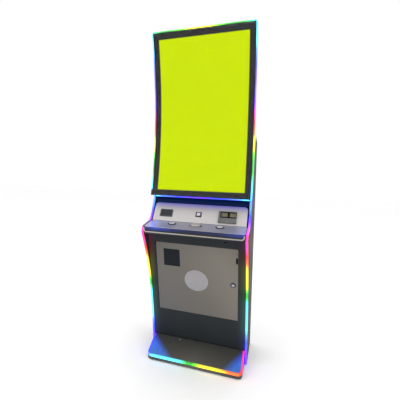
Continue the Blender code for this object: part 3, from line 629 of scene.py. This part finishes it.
FRONT = Face(FRONT_FOOT, FRONT_HEAD)
LEDGE = Face(LEDGE_FRONT, DECK_CREASE)
DECK = Face(DECK_CREASE, DECK_TOP)
BASE_TOP = Face(BASE_FRONT, BASE_REAR)
REAR = Face((REAR_Y, 0.0), (REAR_Y, 1.0), turned=True)


def add_object(name, data):
    """A new object in the scene that holds data."""
    obj = bpy.data.objects.new(name, data)
    bpy.context.collection.objects.link(obj)
    return obj


def soften(obj, width, angle):
    """Rounds the edges and shades what is left smooth."""
    if width:
        bevel = obj.modifiers.new("edges", "BEVEL")
        bevel.width = width
        bevel.segments = 2
        bevel.limit_method = "ANGLE"
        bevel.angle_limit = math.radians(35)
        bevel.harden_normals = False
        bevel.use_clamp_overlap = True
    obj.data.shade_smooth()
    obj.data.set_sharp_from_angle(angle=math.radians(angle))


def piece(name, bm, look, face=None, width=0.0, body="cabinet", angle=30):
    """One finished object from a bmesh: placed, softened, given its look, riding on its body."""
    if face:
        bmesh.ops.transform(bm, matrix=face.matrix, verts=bm.verts)
    bmesh.ops.recalc_face_normals(bm, faces=bm.faces)
    mesh = bpy.data.meshes.new(name)
    bm.to_mesh(mesh)
    bm.free()
    mesh.materials.append(LOOKS[look])
    obj = add_object(name, mesh)
    soften(obj, width, angle)
    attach(obj, body)
    return obj


def add_loft(bm, rings, closed=False):
    """Skins rings with the same number of points, and caps the ends unless the loft is closed."""
    rows = [[bm.verts.new(point) for point in ring] for ring in rings]
    count = len(rows[0])
    pairs = list(zip(rows, rows[1:]))
    if closed:
        pairs.append((rows[-1], rows[0]))
    for low, high in pairs:
        for i in range(count):
            j = (i + 1) % count
            bm.faces.new((low[i], low[j], high[j], high[i]))
    if not closed:
        bm.faces.new(rows[0])
        bm.faces.new(rows[-1])


def add_plate(bm, outline, z0, z1):
    add_loft(bm, [[(x, y, z) for x, y in outline] for z in (z0, z1)])


def add_block(bm, low, high):
    add_plate(bm, rectangle(low[0], low[1], high[0], high[1]), low[2], high[2])


def add_turned(bm, profile, centre, count=48):
    """A solid of revolution about Z through centre, from (radius, z) points."""
    is_ring = min(radius for radius, _ in profile) > 0
    rows = []
    for radius, z in profile:
        if radius == 0:
            rows.append([bm.verts.new((centre[0], centre[1], centre[2] + z))])
        else:
            ring = circle(centre[0], centre[1], radius, count)
            rows.append([bm.verts.new((x, y, centre[2] + z)) for x, y in ring])
    pairs = list(zip(rows, rows[1:]))
    if is_ring:
        pairs.append((rows[-1], rows[0]))
    for a, b in pairs:
        for i in range(count):
            j = (i + 1) % count
            corners = [a[i % len(a)], a[j % len(a)], b[j % len(b)], b[i % len(b)]]
            corners = [v for k, v in enumerate(corners) if v not in corners[:k]]
            if len(corners) > 2:
                bm.faces.new(corners)


def rectangle(x0, y0, x1, y1):
    return [(x0, y0), (x1, y0), (x1, y1), (x0, y1)]


def rounded(x0, y0, x1, y1, radius, steps=6):
    points = []
    centres = ((x0, y0, 1, 1, 180), (x1, y0, -1, 1, 270), (x1, y1, -1, -1, 0), (x0, y1, 1, -1, 90))
    for x, y, sx, sy, start in centres:
        for k in range(steps + 1):
            turn = math.radians(start + 90 * k / steps)
            cx, cy = x + sx * radius, y + sy * radius
            points.append((cx + radius * math.cos(turn), cy + radius * math.sin(turn)))
    return points


def full_turn(count):
    return [2 * math.pi * k / count for k in range(count)]


def circle(cx, cy, radius, count=48):
    return [(cx + radius * math.cos(a), cy + radius * math.sin(a)) for a in full_turn(count)]


def add_frame(bm, outer, inner, z0, z1):
    """A flat ring between two outlines with the same number of points."""
    rings = []
    for a, b in zip(outer, inner):
        rings.append([(*a, z0), (*a, z1), (*b, z1), (*b, z0)])
    add_loft(bm, rings, closed=True)


def add_tube(bm, path, radius, sides=12):
    """A round bar along 3-D points, with flat ends."""
    points = [Vector(p) for p in path]
    side = None
    rings = []
    for i, point in enumerate(points):
        before, after = points[max(i - 1, 0)], points[min(i + 1, len(points) - 1)]
        along = (after - before).normalized()
        if side is None:
            side = along.orthogonal().normalized()
        side = (side - along * side.dot(along)).normalized()
        other = along.cross(side)
        section = [side * math.cos(a) + other * math.sin(a) for a in full_turn(sides)]
        rings.append([point + offset * radius for offset in section])
    add_loft(bm, rings)


def smooth_path(points, steps=8):
    """A curve through 3-D points, for cables."""
    points = [Vector(p) for p in points]
    padded = [points[0] * 2 - points[1]] + points + [points[-1] * 2 - points[-2]]
    made = []
    for a, b, c, d in zip(padded, padded[1:], padded[2:], padded[3:]):
        for k in range(steps):
            t = k / steps
            bend, twist = 2 * a - 5 * b + 4 * c - d, 3 * b - a - 3 * c + d
            made.append(0.5 * (2 * b + (c - a) * t + bend * t * t + twist * t ** 3))
    made.append(points[-1])
    return made


def screen_point(angle, depth):
    radius = CURVE_RADIUS + depth
    y = SCREEN_CENTRE[0] + radius * math.cos(angle)
    return (y, SCREEN_CENTRE[1] + radius * math.sin(angle))


def spread_angles(low, high, steps):
    return [low + (high - low) * k / steps for k in range(steps + 1)]


# ---- the CAD nodes, refined
FINISHES = (
    ("laminate", 1.2, "side_panel_left side_panel_right"),
    ("led_side", 3.0, "side_light_left side_light_right"),
    ("base", 1.2, "base_plate"),
    ("led_base", 2.2, "base_light"),
    ("rubber", 0.5, "foot_front_left foot_front_right foot_rear_left foot_rear_right"),
    ("neck", 0.4, "neck_panel"),
    ("front", 0.5, "front_frame"),
    ("door", 0.5, "main_door"),
    ("plate", 0.4, "blanking_plate"),
    ("charcoal", 0.4, "floor_pan"),
    ("charcoal", 0.5, "top_cover rear_upper_panel rear_door"),
    ("charcoal", 0.0, "door_hinge_fixed_leaf door_hinge_door_leaf"),
    ("charcoal", 0.0, "rear_hinge_fixed_leaf rear_hinge_door_leaf"),
    ("deck", 0.7, "deck_upper_panel"),
    ("ledge", 0.8, "deck_ledge"),
    ("fascia", 0.4, "deck_fascia"),
    ("black", 0.3, "left_button_rim right_button_rim fan_rotor"),
    ("cap", 0.6, "left_button_cap right_button_cap"),
    ("smoke", 0.4, "spin_button_rim"),
    ("black", 0.6, "service_button_rim"),
    ("pilot", 0.5, "service_button_cap"),
    ("slate", 0.6, "display_bezel"),
    ("gloss", 0.3, "display_lens"),
    ("grey", 0.8, "bill_bezel"),
    ("pitch", 0.3, "bill_lattice"),
    ("black", 1.5, "bill_validator screen_housing"),
    ("case", 2.0, "cash_box"),
    ("case", 1.5, "game_computer"),
    ("glass", 0.4, "touch_glass"),
    ("picture", 0.4, "lcd_panel"),
    ("gloss", 1.0, "screen_corner_cap"),
    ("steel", 1.0, "screen_bracket"),
    ("led_brow", 1.6, "brow_light"),
    ("chrome", 0.2, "rear_lock"),
    ("lock", 0.2, "lock_barrel"),
    ("lock", 0.15, "door_lock"),
    ("black", 0.5, "power_inlet power_rocker fan_frame"),
    ("zinc", 0.4, "equipment_shelf"),
    ("zinc", 1.0, "power_supply"),
    ("black", 2.0, "speaker_left speaker_right"),
)


def refine(node, look, width):
    """A copy of a CAD node with clean faces, rounded edges and its finished material."""
    source = frame["nodes"][node]
    bm = bmesh.new()
    bm.from_mesh(source.data)
    bmesh.ops.transform(bm, matrix=source.matrix_world, verts=bm.verts)
    bmesh.ops.remove_doubles(bm, verts=bm.verts, dist=0.00002)
    bmesh.ops.dissolve_limit(
        bm, angle_limit=math.radians(0.6), verts=bm.verts, edges=bm.edges, delimit={"NORMAL"}
    )
    obj = piece(
        f"{node}_finish", bm, look, width=width * MM, body=source["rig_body"], angle=28
    )
    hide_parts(node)


def refine_nodes():
    """FINISHES holds a look, the width of the rounded edges in mm, and the nodes that have them."""
    for look, width, nodes in FINISHES:
        for node in nodes.split():
            refine(node, look, width)


# ---- the screen
def screen_border():
    """The printed border behind the glass, in four bands."""
    bm = bmesh.new()
    outer_x = INNER + 0.0001
    front, back = 0.00410, 0.00440
    bands = (
        (SCREEN_LOW, ACTIVE_LOW, -outer_x, outer_x),
        (ACTIVE_HIGH, SCREEN_HIGH - (BEZEL_INNER + 0.0002) / CURVE_RADIUS, -outer_x, outer_x),
        (ACTIVE_LOW, ACTIVE_HIGH, -outer_x, -ACTIVE_HALF_WIDTH),
        (ACTIVE_LOW, ACTIVE_HIGH, ACTIVE_HALF_WIDTH, outer_x),
    )
    for low, high, x0, x1 in bands:
        rings = []
        for angle in spread_angles(low, high, 24):
            near, far = screen_point(angle, front), screen_point(angle, back)
            rings.append([(x0, *near), (x1, *near), (x1, *far), (x0, *far)])
        add_loft(bm, rings)
    piece("screen_border", bm, "border")


def screen_outline(inset, steps=40):
    """The (x, angle) points of the screen's edge, up the left side, over the top and down."""
    corner = SCREEN_CORNER - inset
    side_top = SCREEN_HIGH - SCREEN_CORNER / CURVE_RADIUS
    side, bend_x = HALF_WIDTH - inset, HALF_WIDTH - SCREEN_CORNER
    bend = []
    for k in range(7):
        turn = math.pi / 2 * (1 - k / 6)
        rise = corner * math.sin(turn) / CURVE_RADIUS
        bend.append((bend_x + corner * math.cos(turn), side_top + rise))
    top = [(bend_x * (k / 6 - 1), side_top + corner / CURVE_RADIUS) for k in range(1, 12)]
    left = [(-side, a) for a in spread_angles(LIGHT_LOW_LEFT, side_top, steps)[:-1]]
    right = [(side, a) for a in spread_angles(side_top, SCREEN_LOW, steps)[1:]]
    return left + [(-x, a) for x, a in reversed(bend)] + top + bend + right


def add_screen_strip(bm, section):
    """Skins a bar along the screen's edge. section holds the (inset, depth) points round it."""
    outlines = [screen_outline(inset) for inset, _ in section]
    rings = []
    for points in zip(*outlines):
        ring = []
        for (x, angle), (_, depth) in zip(points, section):
            ring.append((x, *screen_point(angle, depth)))
        rings.append(ring)
    add_loft(bm, rings)


def screen_edge():
    """The domed light strip round the screen, and the dark bezel inside it."""
    wide = LIGHT_WIDTH
    dome = [(0.0, 0.0160), (0.0, 0.0014), (0.175 * wide, 0.0002), (0.5 * wide, -0.0004)]
    dome += [(0.825 * wide, 0.0002), (wide, 0.0014), (wide, 0.0160)]
    bm = bmesh.new()
    add_screen_strip(bm, dome)
    light = piece("screen_edge_light", bm, "led_screen_side", angle=60)
    light.data.materials.append(LOOKS["led_screen_top"])
    for polygon in light.data.polygons:
        if abs(polygon.center.x) < HALF_WIDTH - SCREEN_CORNER:
            polygon.material_index = 1
    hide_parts("screen_light")

    bm = bmesh.new()
    back, front = 0.0172, 0.0004
    corners = [(wide, back), (wide, front), (BEZEL_INNER, front), (BEZEL_INNER, back)]
    add_screen_strip(bm, corners)
    piece("screen_bezel", bm, "border", angle=60)


def screen_back():
    """Louvres, seams and screws on the back of the screen's housing."""
    bm = bmesh.new()
    for centre in (-0.125, 0.125):
        for row in range(11):
            angle = math.radians(10.5 + 0.42 * row)
            add_curved_bar(bm, centre - 0.055, centre + 0.055, angle, 0.0042, 0.0022)
    piece("screen_louvres", bm, "black", width=0.0006)
    bm = bmesh.new()
    for degrees in (8.6, 16.4):
        add_curved_bar(bm, -0.225, 0.225, math.radians(degrees), 0.0030, 0.0014)
    piece("screen_seams", bm, "border", width=0.0004)
    bm = bmesh.new()
    for x in (-0.24, 0.0, 0.24):
        for angle in (math.radians(7.0), math.radians(18.0)):
            done = len(bm.verts)
            add_screw(bm, 0, 0, 0, 0.0040)
            spot = Matrix.Translation((x, *screen_point(angle, HOUSING_DEPTH)))
            turn = Matrix.Rotation(angle - math.pi / 2, 4, "X")
            bmesh.ops.transform(bm, matrix=spot @ turn, verts=list(bm.verts)[done:])
    piece("screen_screws", bm, "steel")


def add_curved_bar(bm, x0, x1, angle, height, proud):
    """A bar across the back of the screen's housing, standing proud of it."""
    half = 0.5 * height / CURVE_RADIUS
    section = [screen_point(angle + turn, HOUSING_DEPTH + 0.0001) for turn in (-half, half)]
    section += [screen_point(angle + turn, HOUSING_DEPTH + proud) for turn in (half, -half)]
    add_loft(bm, [[(x, y, z) for y, z in section] for x in (x0, x1)])


# ---- the front
def door_pieces():
    """The disc, the violet crescent over the lock, and the finger slot's rim and well."""
    bm = bmesh.new()
    profile = [(0, GAP), (0.0725, GAP), (0.0732, 0.0005), (0.0732, 0.0011), (0.0728, 0.0014)]
    profile += [(0.0712, 0.0015), (0.0704, 0.0013), (0.0696, 0.0015), (0, 0.0015)]
    add_turned(bm, profile, (0, DISC_HEIGHT, 0), 128)
    disc = piece("door_disc_finish", bm, "disc", FRONT, body="main_door")
    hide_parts("door_disc")

    bm = bmesh.new()
    x, y = LOCK
    add_frame(bm, circle(x, y + 0.0014, 0.0150), circle(x, y - 0.0014, 0.0116), GAP, 0.0024)
    piece("lock_collar", bm, "violet", FRONT, 0.0002, body="main_door")

    (x, low), high = DOOR_SLOT_FOOT, DOOR_SLOT_FOOT[1] + 0.040
    outer = rounded(x - 0.0053, low, x + 0.0053, high, 0.0052)
    inner = rounded(x - 0.0044, low + 0.0009, x + 0.0044, high - 0.0009, 0.0043)
    bm = bmesh.new()
    add_frame(bm, outer, inner, 0.0001, 0.0009)
    piece("door_slot_rim", bm, "pitch", FRONT, 0.0002, body="main_door")
    bm = bmesh.new()
    add_plate(bm, inner, 0.0001, 0.0004)
    piece("door_slot_well", bm, "pitch", FRONT, body="main_door")


def frame_pieces():
    """The oval plug over the door, the studs behind the blanking plate and the door's seal."""
    bm = bmesh.new()
    add_turned(bm, [(0, 0.0001), (0.0045, 0.0001), (0.0045, 0.0007), (0, 0.0010)], (0, 0, 0), 40)
    bmesh.ops.scale(bm, vec=(2.2, 0.75, 1), verts=bm.verts)
    bmesh.ops.translate(bm, vec=(0.175, 0.735, 0), verts=bm.verts)
    piece("rail_plug", bm, "pitch", FRONT)

    bm = bmesh.new()
    stud = [(0, -0.0092), (0.0030, -0.0092), (0.0030, -0.0050), (0, -0.0050)]
    for x in (-0.2035, -0.0960):
        for y in (0.534, 0.658):
            add_turned(bm, stud, (x, y, 0), 20)
    piece("plate_studs", bm, "steel", FRONT, 0.0003, body="main_door")

    bm = bmesh.new()
    gap = 0.0010
    low, high = DOOR_LOW - gap, DOOR_HIGH + gap
    outer = rectangle(-DOOR_HALF_WIDTH - 0.0012, low, DOOR_HALF_WIDTH + 0.0012, high)
    inner = rectangle(-DOOR_HALF_WIDTH + 0.006, low + 0.007, DOOR_HALF_WIDTH - 0.007, high - 0.007)
    add_frame(bm, outer, inner, -0.0160, -0.0128)
    piece("door_seal", bm, "foam", FRONT, 0.0008)


def base_pieces():
    """Countersunk screws in the footrest."""
    bm = bmesh.new()
    for x, y in ((-0.115, 0.172), (-0.020, 0.010)):
        add_screw(bm, x, y, 0.0, 0.0040)
    piece("base_screws", bm, "steel", BASE_TOP)


def add_screw(bm, x, y, z, radius):
    """A low domed head with a hexagon socket sunk into it."""
    head = [(radius, z + 0.0001), (radius, z + 0.0005), (radius * 0.86, z + 0.0010)]
    head += [(radius * 0.45, z + 0.0012), (radius * 0.42, z + 0.0004), (0, z + 0.0004)]
    head = [(0, z + 0.0001)] + head
    add_turned(bm, head, (x, y, 0), 18)


# ---- the deck
def trim_piece():
    """The chrome bead under the fascia, turned up at both ends by a smooth bend."""
    low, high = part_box("chrome_trim")
    radius = 0.0043
    y = (low[1] + high[1]) / 2
    z = low[2] + radius + 0.0002
    half = high[0] - 0.0045
    turn = 0.014
    path = [(-half, y, high[2] - 0.001)]
    for sign, start in ((-1, 180), (1, 270)):
        for k in range(11):
            angle = math.radians(start + 9 * k)
            cx = sign * (half - turn)
            path.append((cx + turn * math.cos(angle), y, z + turn + turn * math.sin(angle)))
    path.append((half, y, high[2] - 0.001))
    bm = bmesh.new()
    add_tube(bm, path, radius, 20)
    trim = piece("chrome_trim_finish", bm, "trim", angle=50)
    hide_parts("chrome_trim")


def spin_button():
    """The big button's domed cap, and the beads that stand on its rim."""
    bm = bmesh.new()
    radius, shoulder, rise = 0.0278, 0.0066, 0.0026
    cap = [(0, -0.0100), (0.0288, -0.0100), (0.0288, 0.0052), (radius, shoulder)]
    for k in range(1, 9):
        turn = math.pi / 2 * k / 8
        cap.append((radius * math.cos(turn) if k < 8 else 0, shoulder + rise * math.sin(turn)))
    add_turned(bm, cap, (0, BUTTON_ROW, 0), 72)
    dome = piece("spin_button_cap_finish", bm, "spin", LEDGE, body="spin_button")
    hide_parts("spin_button_cap")

    bm = bmesh.new()
    bead = [(0, 0.0048), (0.0024, 0.0048), (0.0024, 0.0062), (0.0013, 0.0073), (0, 0.0075)]
    for x, y in circle(0, BUTTON_ROW, 0.0338, 20):
        add_turned(bm, bead, (x, y, 0), 12)
    piece("spin_button_beads", bm, "rim", LEDGE)


def button_pieces():
    """Raised rings on the two round caps, and the four pads of the square one."""
    ring = [(0.0118, 0.0078), (0.0146, 0.0074), (0.0146, 0.0080), (0.0132, 0.0087), (0.0118, 0.0084)]
    for side, x in (("left", -ROUND_BUTTON_X), ("right", ROUND_BUTTON_X)):
        bm = bmesh.new()
        add_turned(bm, ring, (x, BUTTON_ROW, 0), 64)
        piece(f"{side}_button_ring", bm, "cap", LEDGE, body=f"{side}_button")
    bm = bmesh.new()
    pad = 0.0086
    for x in (-0.0093, 0.0007):
        for y in (SQUARE_BUTTON_Y - 0.0093, SQUARE_BUTTON_Y + 0.0007):
            add_plate(bm, rounded(x, y, x + pad, y + pad, 0.001, 3), 0.0060, 0.0067)
    piece("service_button_face", bm, "pilot", DECK, 0.0002, body="service_button")


def window_pieces():
    """The status window's dark picture, almost flush with its frame."""
    bm = bmesh.new()
    add_plate(bm, rounded(-0.2340, 0.0415, -0.1720, 0.0775, 0.0005), -0.0014, 0.0032)
    piece("status_picture", bm, "status", DECK)


def bill_pieces():
    """The two diamond grilles over the note slot, and the ribs of its lip."""
    for side, x0, x1 in (("left", 0.1370, 0.1730), ("right", 0.1850, 0.2210)):
        bm = bmesh.new()
        add_diamonds(bm, x0, 0.0580, x1, 0.0835, 0.0132, 0.00062)
        piece(f"bill_grille_{side}", bm, "brass", DECK)
    bm = bmesh.new()
    for k in range(5):
        y = 0.0195 + 0.0048 * k
        add_plate(bm, rounded(0.1290, y, 0.2170, y + 0.0018, 0.0008, 3), 0.0119, 0.0126)
    piece("bill_lip_ribs", bm, "grey", DECK, 0.0002)


def add_diamonds(bm, x0, y0, x1, y1, pitch, half):
    """Crossing diagonal ribs inside a rectangle."""
    width, height, middle = x1 - x0, y1 - y0, (y0 + y1) / 2
    for sign in (1, -1):
        for k in range(1, int((width + height) / pitch) + 1):
            start = -height + k * pitch
            a, b = max(0.0, start), min(width, start + height)
            if b - a < pitch * 0.3:
                continue
            foot, head = [Vector((x0 + x, middle + sign * (x - start - height / 2))) for x in (a, b)]
            side = (head - foot).orthogonal().normalized() * half
            bottom = 0.0048 if sign > 0 else 0.0056
            outline = [foot + side, head + side, head - side, foot - side]
            add_plate(bm, outline, bottom, bottom + 0.0012)


def deck_seams():
    """The dark joint in the crease of the deck and the light strip's channel under the screen."""
    bm = bmesh.new()
    y, z = DECK_CREASE
    path = [(x, y - 0.0001, z - 0.0012) for x in (-0.2840, 0.2840)]
    add_tube(bm, path, 0.0008, 8)
    piece("deck_joint", bm, "rubber")
    low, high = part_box("brow_light")
    bm = bmesh.new()
    add_block(bm, (low[0], high[1] + GAP, low[2] - 0.004), (high[0], high[1] + 0.004, high[2] + 0.004))
    piece("brow_channel", bm, "black", width=0.0005)


# ---- back, top and underneath
def rear_screws():
    """Screws round the fixed panels and the fan."""
    bm = bmesh.new()
    half = INNER - 0.012
    places = [(x, 1.374) for x in (-half, -half / 2, 0, half / 2, half)]
    places += [(x, y) for y in (0.94, 1.08, 1.22) for x in (-half, half)]
    places += [(x, 0.030) for x in (-half, -0.06, half)]
    for x, y in places:
        add_screw(bm, x, y, 0.0, 0.0034)
    for x in (-FAN_SCREW, FAN_SCREW):
        for y in (-FAN_SCREW, FAN_SCREW):
            add_screw(bm, x, FAN_HEIGHT + y, 0.0, 0.0030)
    piece("rear_screws", bm, "steel", REAR)


def fan_guard():
    """Four wire rings over the fan, on four radial wires."""
    bm = bmesh.new()
    for radius in (0.016, 0.028, 0.040, 0.052):
        add_turned(bm, circle(radius, 0.0016, 0.0008, 6), (0, FAN_HEIGHT, 0), 48)
    inner, outer = circle(0, FAN_HEIGHT, 0.010, 8)[1::2], circle(0, FAN_HEIGHT, 0.057, 8)[1::2]
    for ends in zip(inner, outer):
        add_tube(bm, [(x, y, 0.0026) for x, y in ends], 0.0009, 6)
    piece("fan_guard", bm, "steel", REAR)


def rear_fittings():
    """The service door's pull, the flange and pins of the mains inlet, and the switch's bezel."""
    bm = bmesh.new()
    pull = ((0.430, 0.0002), (0.436, 0.0030), (0.500, 0.0034), (0.564, 0.0030), (0.570, 0.0002))
    add_tube(bm, smooth_path([(0.20, y, z) for y, z in pull], 4), 0.0030, 10)
    piece("rear_door_pull", bm, "steel", REAR, body="rear_door")

    bm = bmesh.new()
    outer = rounded(0.156, 0.041, 0.214, 0.079, 0.003)
    add_frame(bm, outer, rounded(0.1606, 0.0456, 0.2094, 0.0744, 0.002), 0.0001, 0.0016)
    for x in (0.1585, 0.2115):
        add_screw(bm, x, 0.060, 0.0015, 0.0018)
    piece("inlet_flange", bm, "black", REAR, 0.0003)
    bm = bmesh.new()
    for x, y in ((0.178, 0.0575), (0.185, 0.0635), (0.192, 0.0575)):
        add_block(bm, (x - 0.0010, y - 0.0022, -0.0158), (x + 0.0010, y + 0.0022, -0.0050))
    piece("inlet_pins", bm, "steel", REAR, 0.0003)
    bm = bmesh.new()
    outer = rounded(0.117, 0.043, 0.143, 0.077, 0.002)
    add_frame(bm, outer, rounded(0.1196, 0.0456, 0.1404, 0.0744, 0.001), 0.0001, 0.0012)
    piece("rocker_bezel", bm, "black", REAR, 0.0003)


def feet_pieces():
    """The lock nut of each rear foot."""
    bm = bmesh.new()
    nut = [(0.0062, 0.0062), (0.0100, 0.0062), (0.0100, 0.0105), (0.0062, 0.0105)]
    for x in (-0.24, 0.24):
        add_turned(bm, nut, (x, 0.25, 0), 6)
    piece("foot_nuts", bm, "zinc", width=0.0004)


# ---- inside
def computer_pieces():
    """The computer's vents, connectors and plate."""
    low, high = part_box("game_computer")
    left, front, top = low[0], low[1], high[2]
    bm = bmesh.new()
    for row in range(7):
        for column in range(9):
            x, y = left + 0.020 + 0.011 * column, front + 0.030 + 0.018 * row
            add_plate(bm, rounded(x, y, x + 0.007, y + 0.012, 0.003, 3), top + 0.0001, top + 0.0006)
    piece("computer_vents", bm, "foam")
    bm = bmesh.new()
    for k in range(6):
        x = left + 0.030 + 0.038 * k
        add_block(bm, (x, front - 0.0075, 0.350), (x + 0.024, front - 0.0002, 0.364))
    piece("computer_connectors", bm, "black", width=0.0006)
    bm = bmesh.new()
    add_block(bm, (left + 0.02, front - 0.0014, 0.392), (high[0] - 0.02, front - 0.0002, 0.428))
    piece("computer_plate", bm, "zinc", width=0.0004)


def board_pieces():
    """The interface board on the shelf, and its components."""
    bm = bmesh.new()
    add_block(bm, (0.095, 0.060, 0.3335), (0.250, 0.225, 0.3352))
    piece("io_board", bm, "board", width=0.0002)
    bm = bmesh.new()
    for k in range(14):
        x = 0.105 + 0.028 * (k % 5) + random.uniform(-0.003, 0.003)
        y = 0.075 + 0.045 * (k // 5) + random.uniform(-0.004, 0.004)
        width, depth = random.uniform(0.010, 0.022), random.uniform(0.008, 0.026)
        top = 0.3354 + random.uniform(0.002, 0.012)
        add_block(bm, (x, y, 0.3354), (x + width, y + depth, top))
    piece("io_components", bm, "black", width=0.0004)


def looms():
    """Bundles of four wires between the boxes, tied back to the cabinet."""
    routes = {
        "black": [(-0.10, 0.034, 0.357), (-0.10, 0.015, 0.40), (-0.16, 0.03, 0.48),
                  (-0.262, 0.06, 0.56), (-0.270, 0.09, 0.80), (-0.268, 0.10, 1.05)],
        "red": [(0.03, 0.034, 0.357), (0.05, 0.012, 0.385), (0.12, 0.03, 0.43),
                (0.24, 0.08, 0.50), (0.262, 0.10, 0.70), (0.262, 0.10, 0.88)],
        "blue": [(-0.02, 0.034, 0.357), (-0.01, 0.010, 0.395), (0.05, 0.05, 0.50),
                 (0.10, 0.075, 0.62), (0.165, 0.075, 0.80), (0.172, 0.068, 0.87)],
    }
    for colour, route in routes.items():
        bm = bmesh.new()
        for x, z in circle(0, 0, 0.0034, 4):
            add_tube(bm, smooth_path([Vector(p) + Vector((x, 0, z)) for p in route]), 0.0018, 8)
        piece(f"loom_{colour}", bm, f"cable_{colour}", angle=60)
    bm = bmesh.new()
    for spot in ((-0.268, 0.083, 0.72), (-0.269, 0.098, 0.93), (0.262, 0.1, 0.76)):
        add_turned(bm, circle(0.0075, 0, 0.0011, 6), spot, 20)
    piece("cable_ties", bm, "black")


def cash_box_parts():
    """The cash box's handle and lock."""
    low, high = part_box("cash_box")
    x, y = (low[0] + high[0]) / 2, low[1]
    bm = bmesh.new()
    half = [(0.025, 0.0002, 0.760), (0.025, 0.012, 0.762), (0.018, 0.016, 0.764)]
    handle = [(x - across, y - out, z) for across, out, z in half]
    handle += [(x + across, y - out, z) for across, out, z in reversed(half)]
    add_tube(bm, smooth_path(handle, 5), 0.0030, 10)
    piece("cash_box_handle", bm, "black", angle=60)
    bm = bmesh.new()
    lock = [(0, 0.0001), (0.0075, 0.0001), (0.0075, 0.0016), (0.0062, 0.0022), (0, 0.0022)]
    add_turned(bm, lock, (0, 0, 0), 40)
    turn = Matrix.Translation((x, y, 0.815)) @ Matrix.Rotation(math.pi / 2, 4, "X")
    bmesh.ops.transform(bm, matrix=turn, verts=bm.verts)
    piece("cash_box_lock", bm, "chrome")


# ---- stage
def add_light(name, spot, target, size, power):
    data = bpy.data.lights.new(name, "AREA")
    data.shape = "RECTANGLE"
    data.size, data.size_y = size
    data.energy = power
    light = add_object(name, data)
    light.location = spot
    light.rotation_euler = (Vector(target) - Vector(spot)).to_track_quat("-Z", "Y").to_euler()


def stage():
    """A wide white floor, a white world and three soft lights."""
    bm = bmesh.new()
    bmesh.ops.create_grid(bm, x_segments=1, y_segments=1, size=9.0)
    mesh = bpy.data.meshes.new("floor")
    bm.to_mesh(mesh)
    bm.free()
    mesh.materials.append(Look("floor", (0.985, 0.985, 0.985), 0.8).material)
    add_object("floor", mesh)

    world = bpy.data.worlds.new("studio")
    world.use_nodes = True
    background = world.node_tree.nodes["Background"].inputs
    background["Color"].default_value = (1, 1, 1, 1)
    background["Strength"].default_value = 1.0
    bpy.context.scene.world = world
    add_light("key", (-2.6, -3.4, 3.6), (0, 0, 0.9), (2.6, 2.6), 45)
    add_light("fill", (3.4, -2.6, 2.6), (0, 0, 0.9), (2.4, 2.4), 20)
    add_light("rear", (0.5, 3.6, 3.2), (0, 0, 1.1), (3.0, 2.0), 30)
    bpy.context.scene.view_settings.view_transform = "Standard"


def camera():
    data = bpy.data.cameras.new("camera")
    data.lens = CAMERA_LENS
    data.sensor_width = 36
    data.shift_x, data.shift_y = CAMERA_SHIFT
    obj = add_object("camera", data)
    obj.location = CAMERA_PLACE
    obj.rotation_euler = (CAMERA_TILT, 0, CAMERA_TURN)
    bpy.context.scene.camera = obj


# ---- assembly
camera()
LOOKS = {**make_looks(), **make_led_looks()}
refine_nodes()
screen_border()
screen_edge()
screen_back()
door_pieces()
frame_pieces()
base_pieces()
trim_piece()
spin_button()
button_pieces()
window_pieces()
bill_pieces()
deck_seams()
rear_screws()
fan_guard()
rear_fittings()
feet_pieces()
computer_pieces()
board_pieces()
looms()
cash_box_parts()
stage()
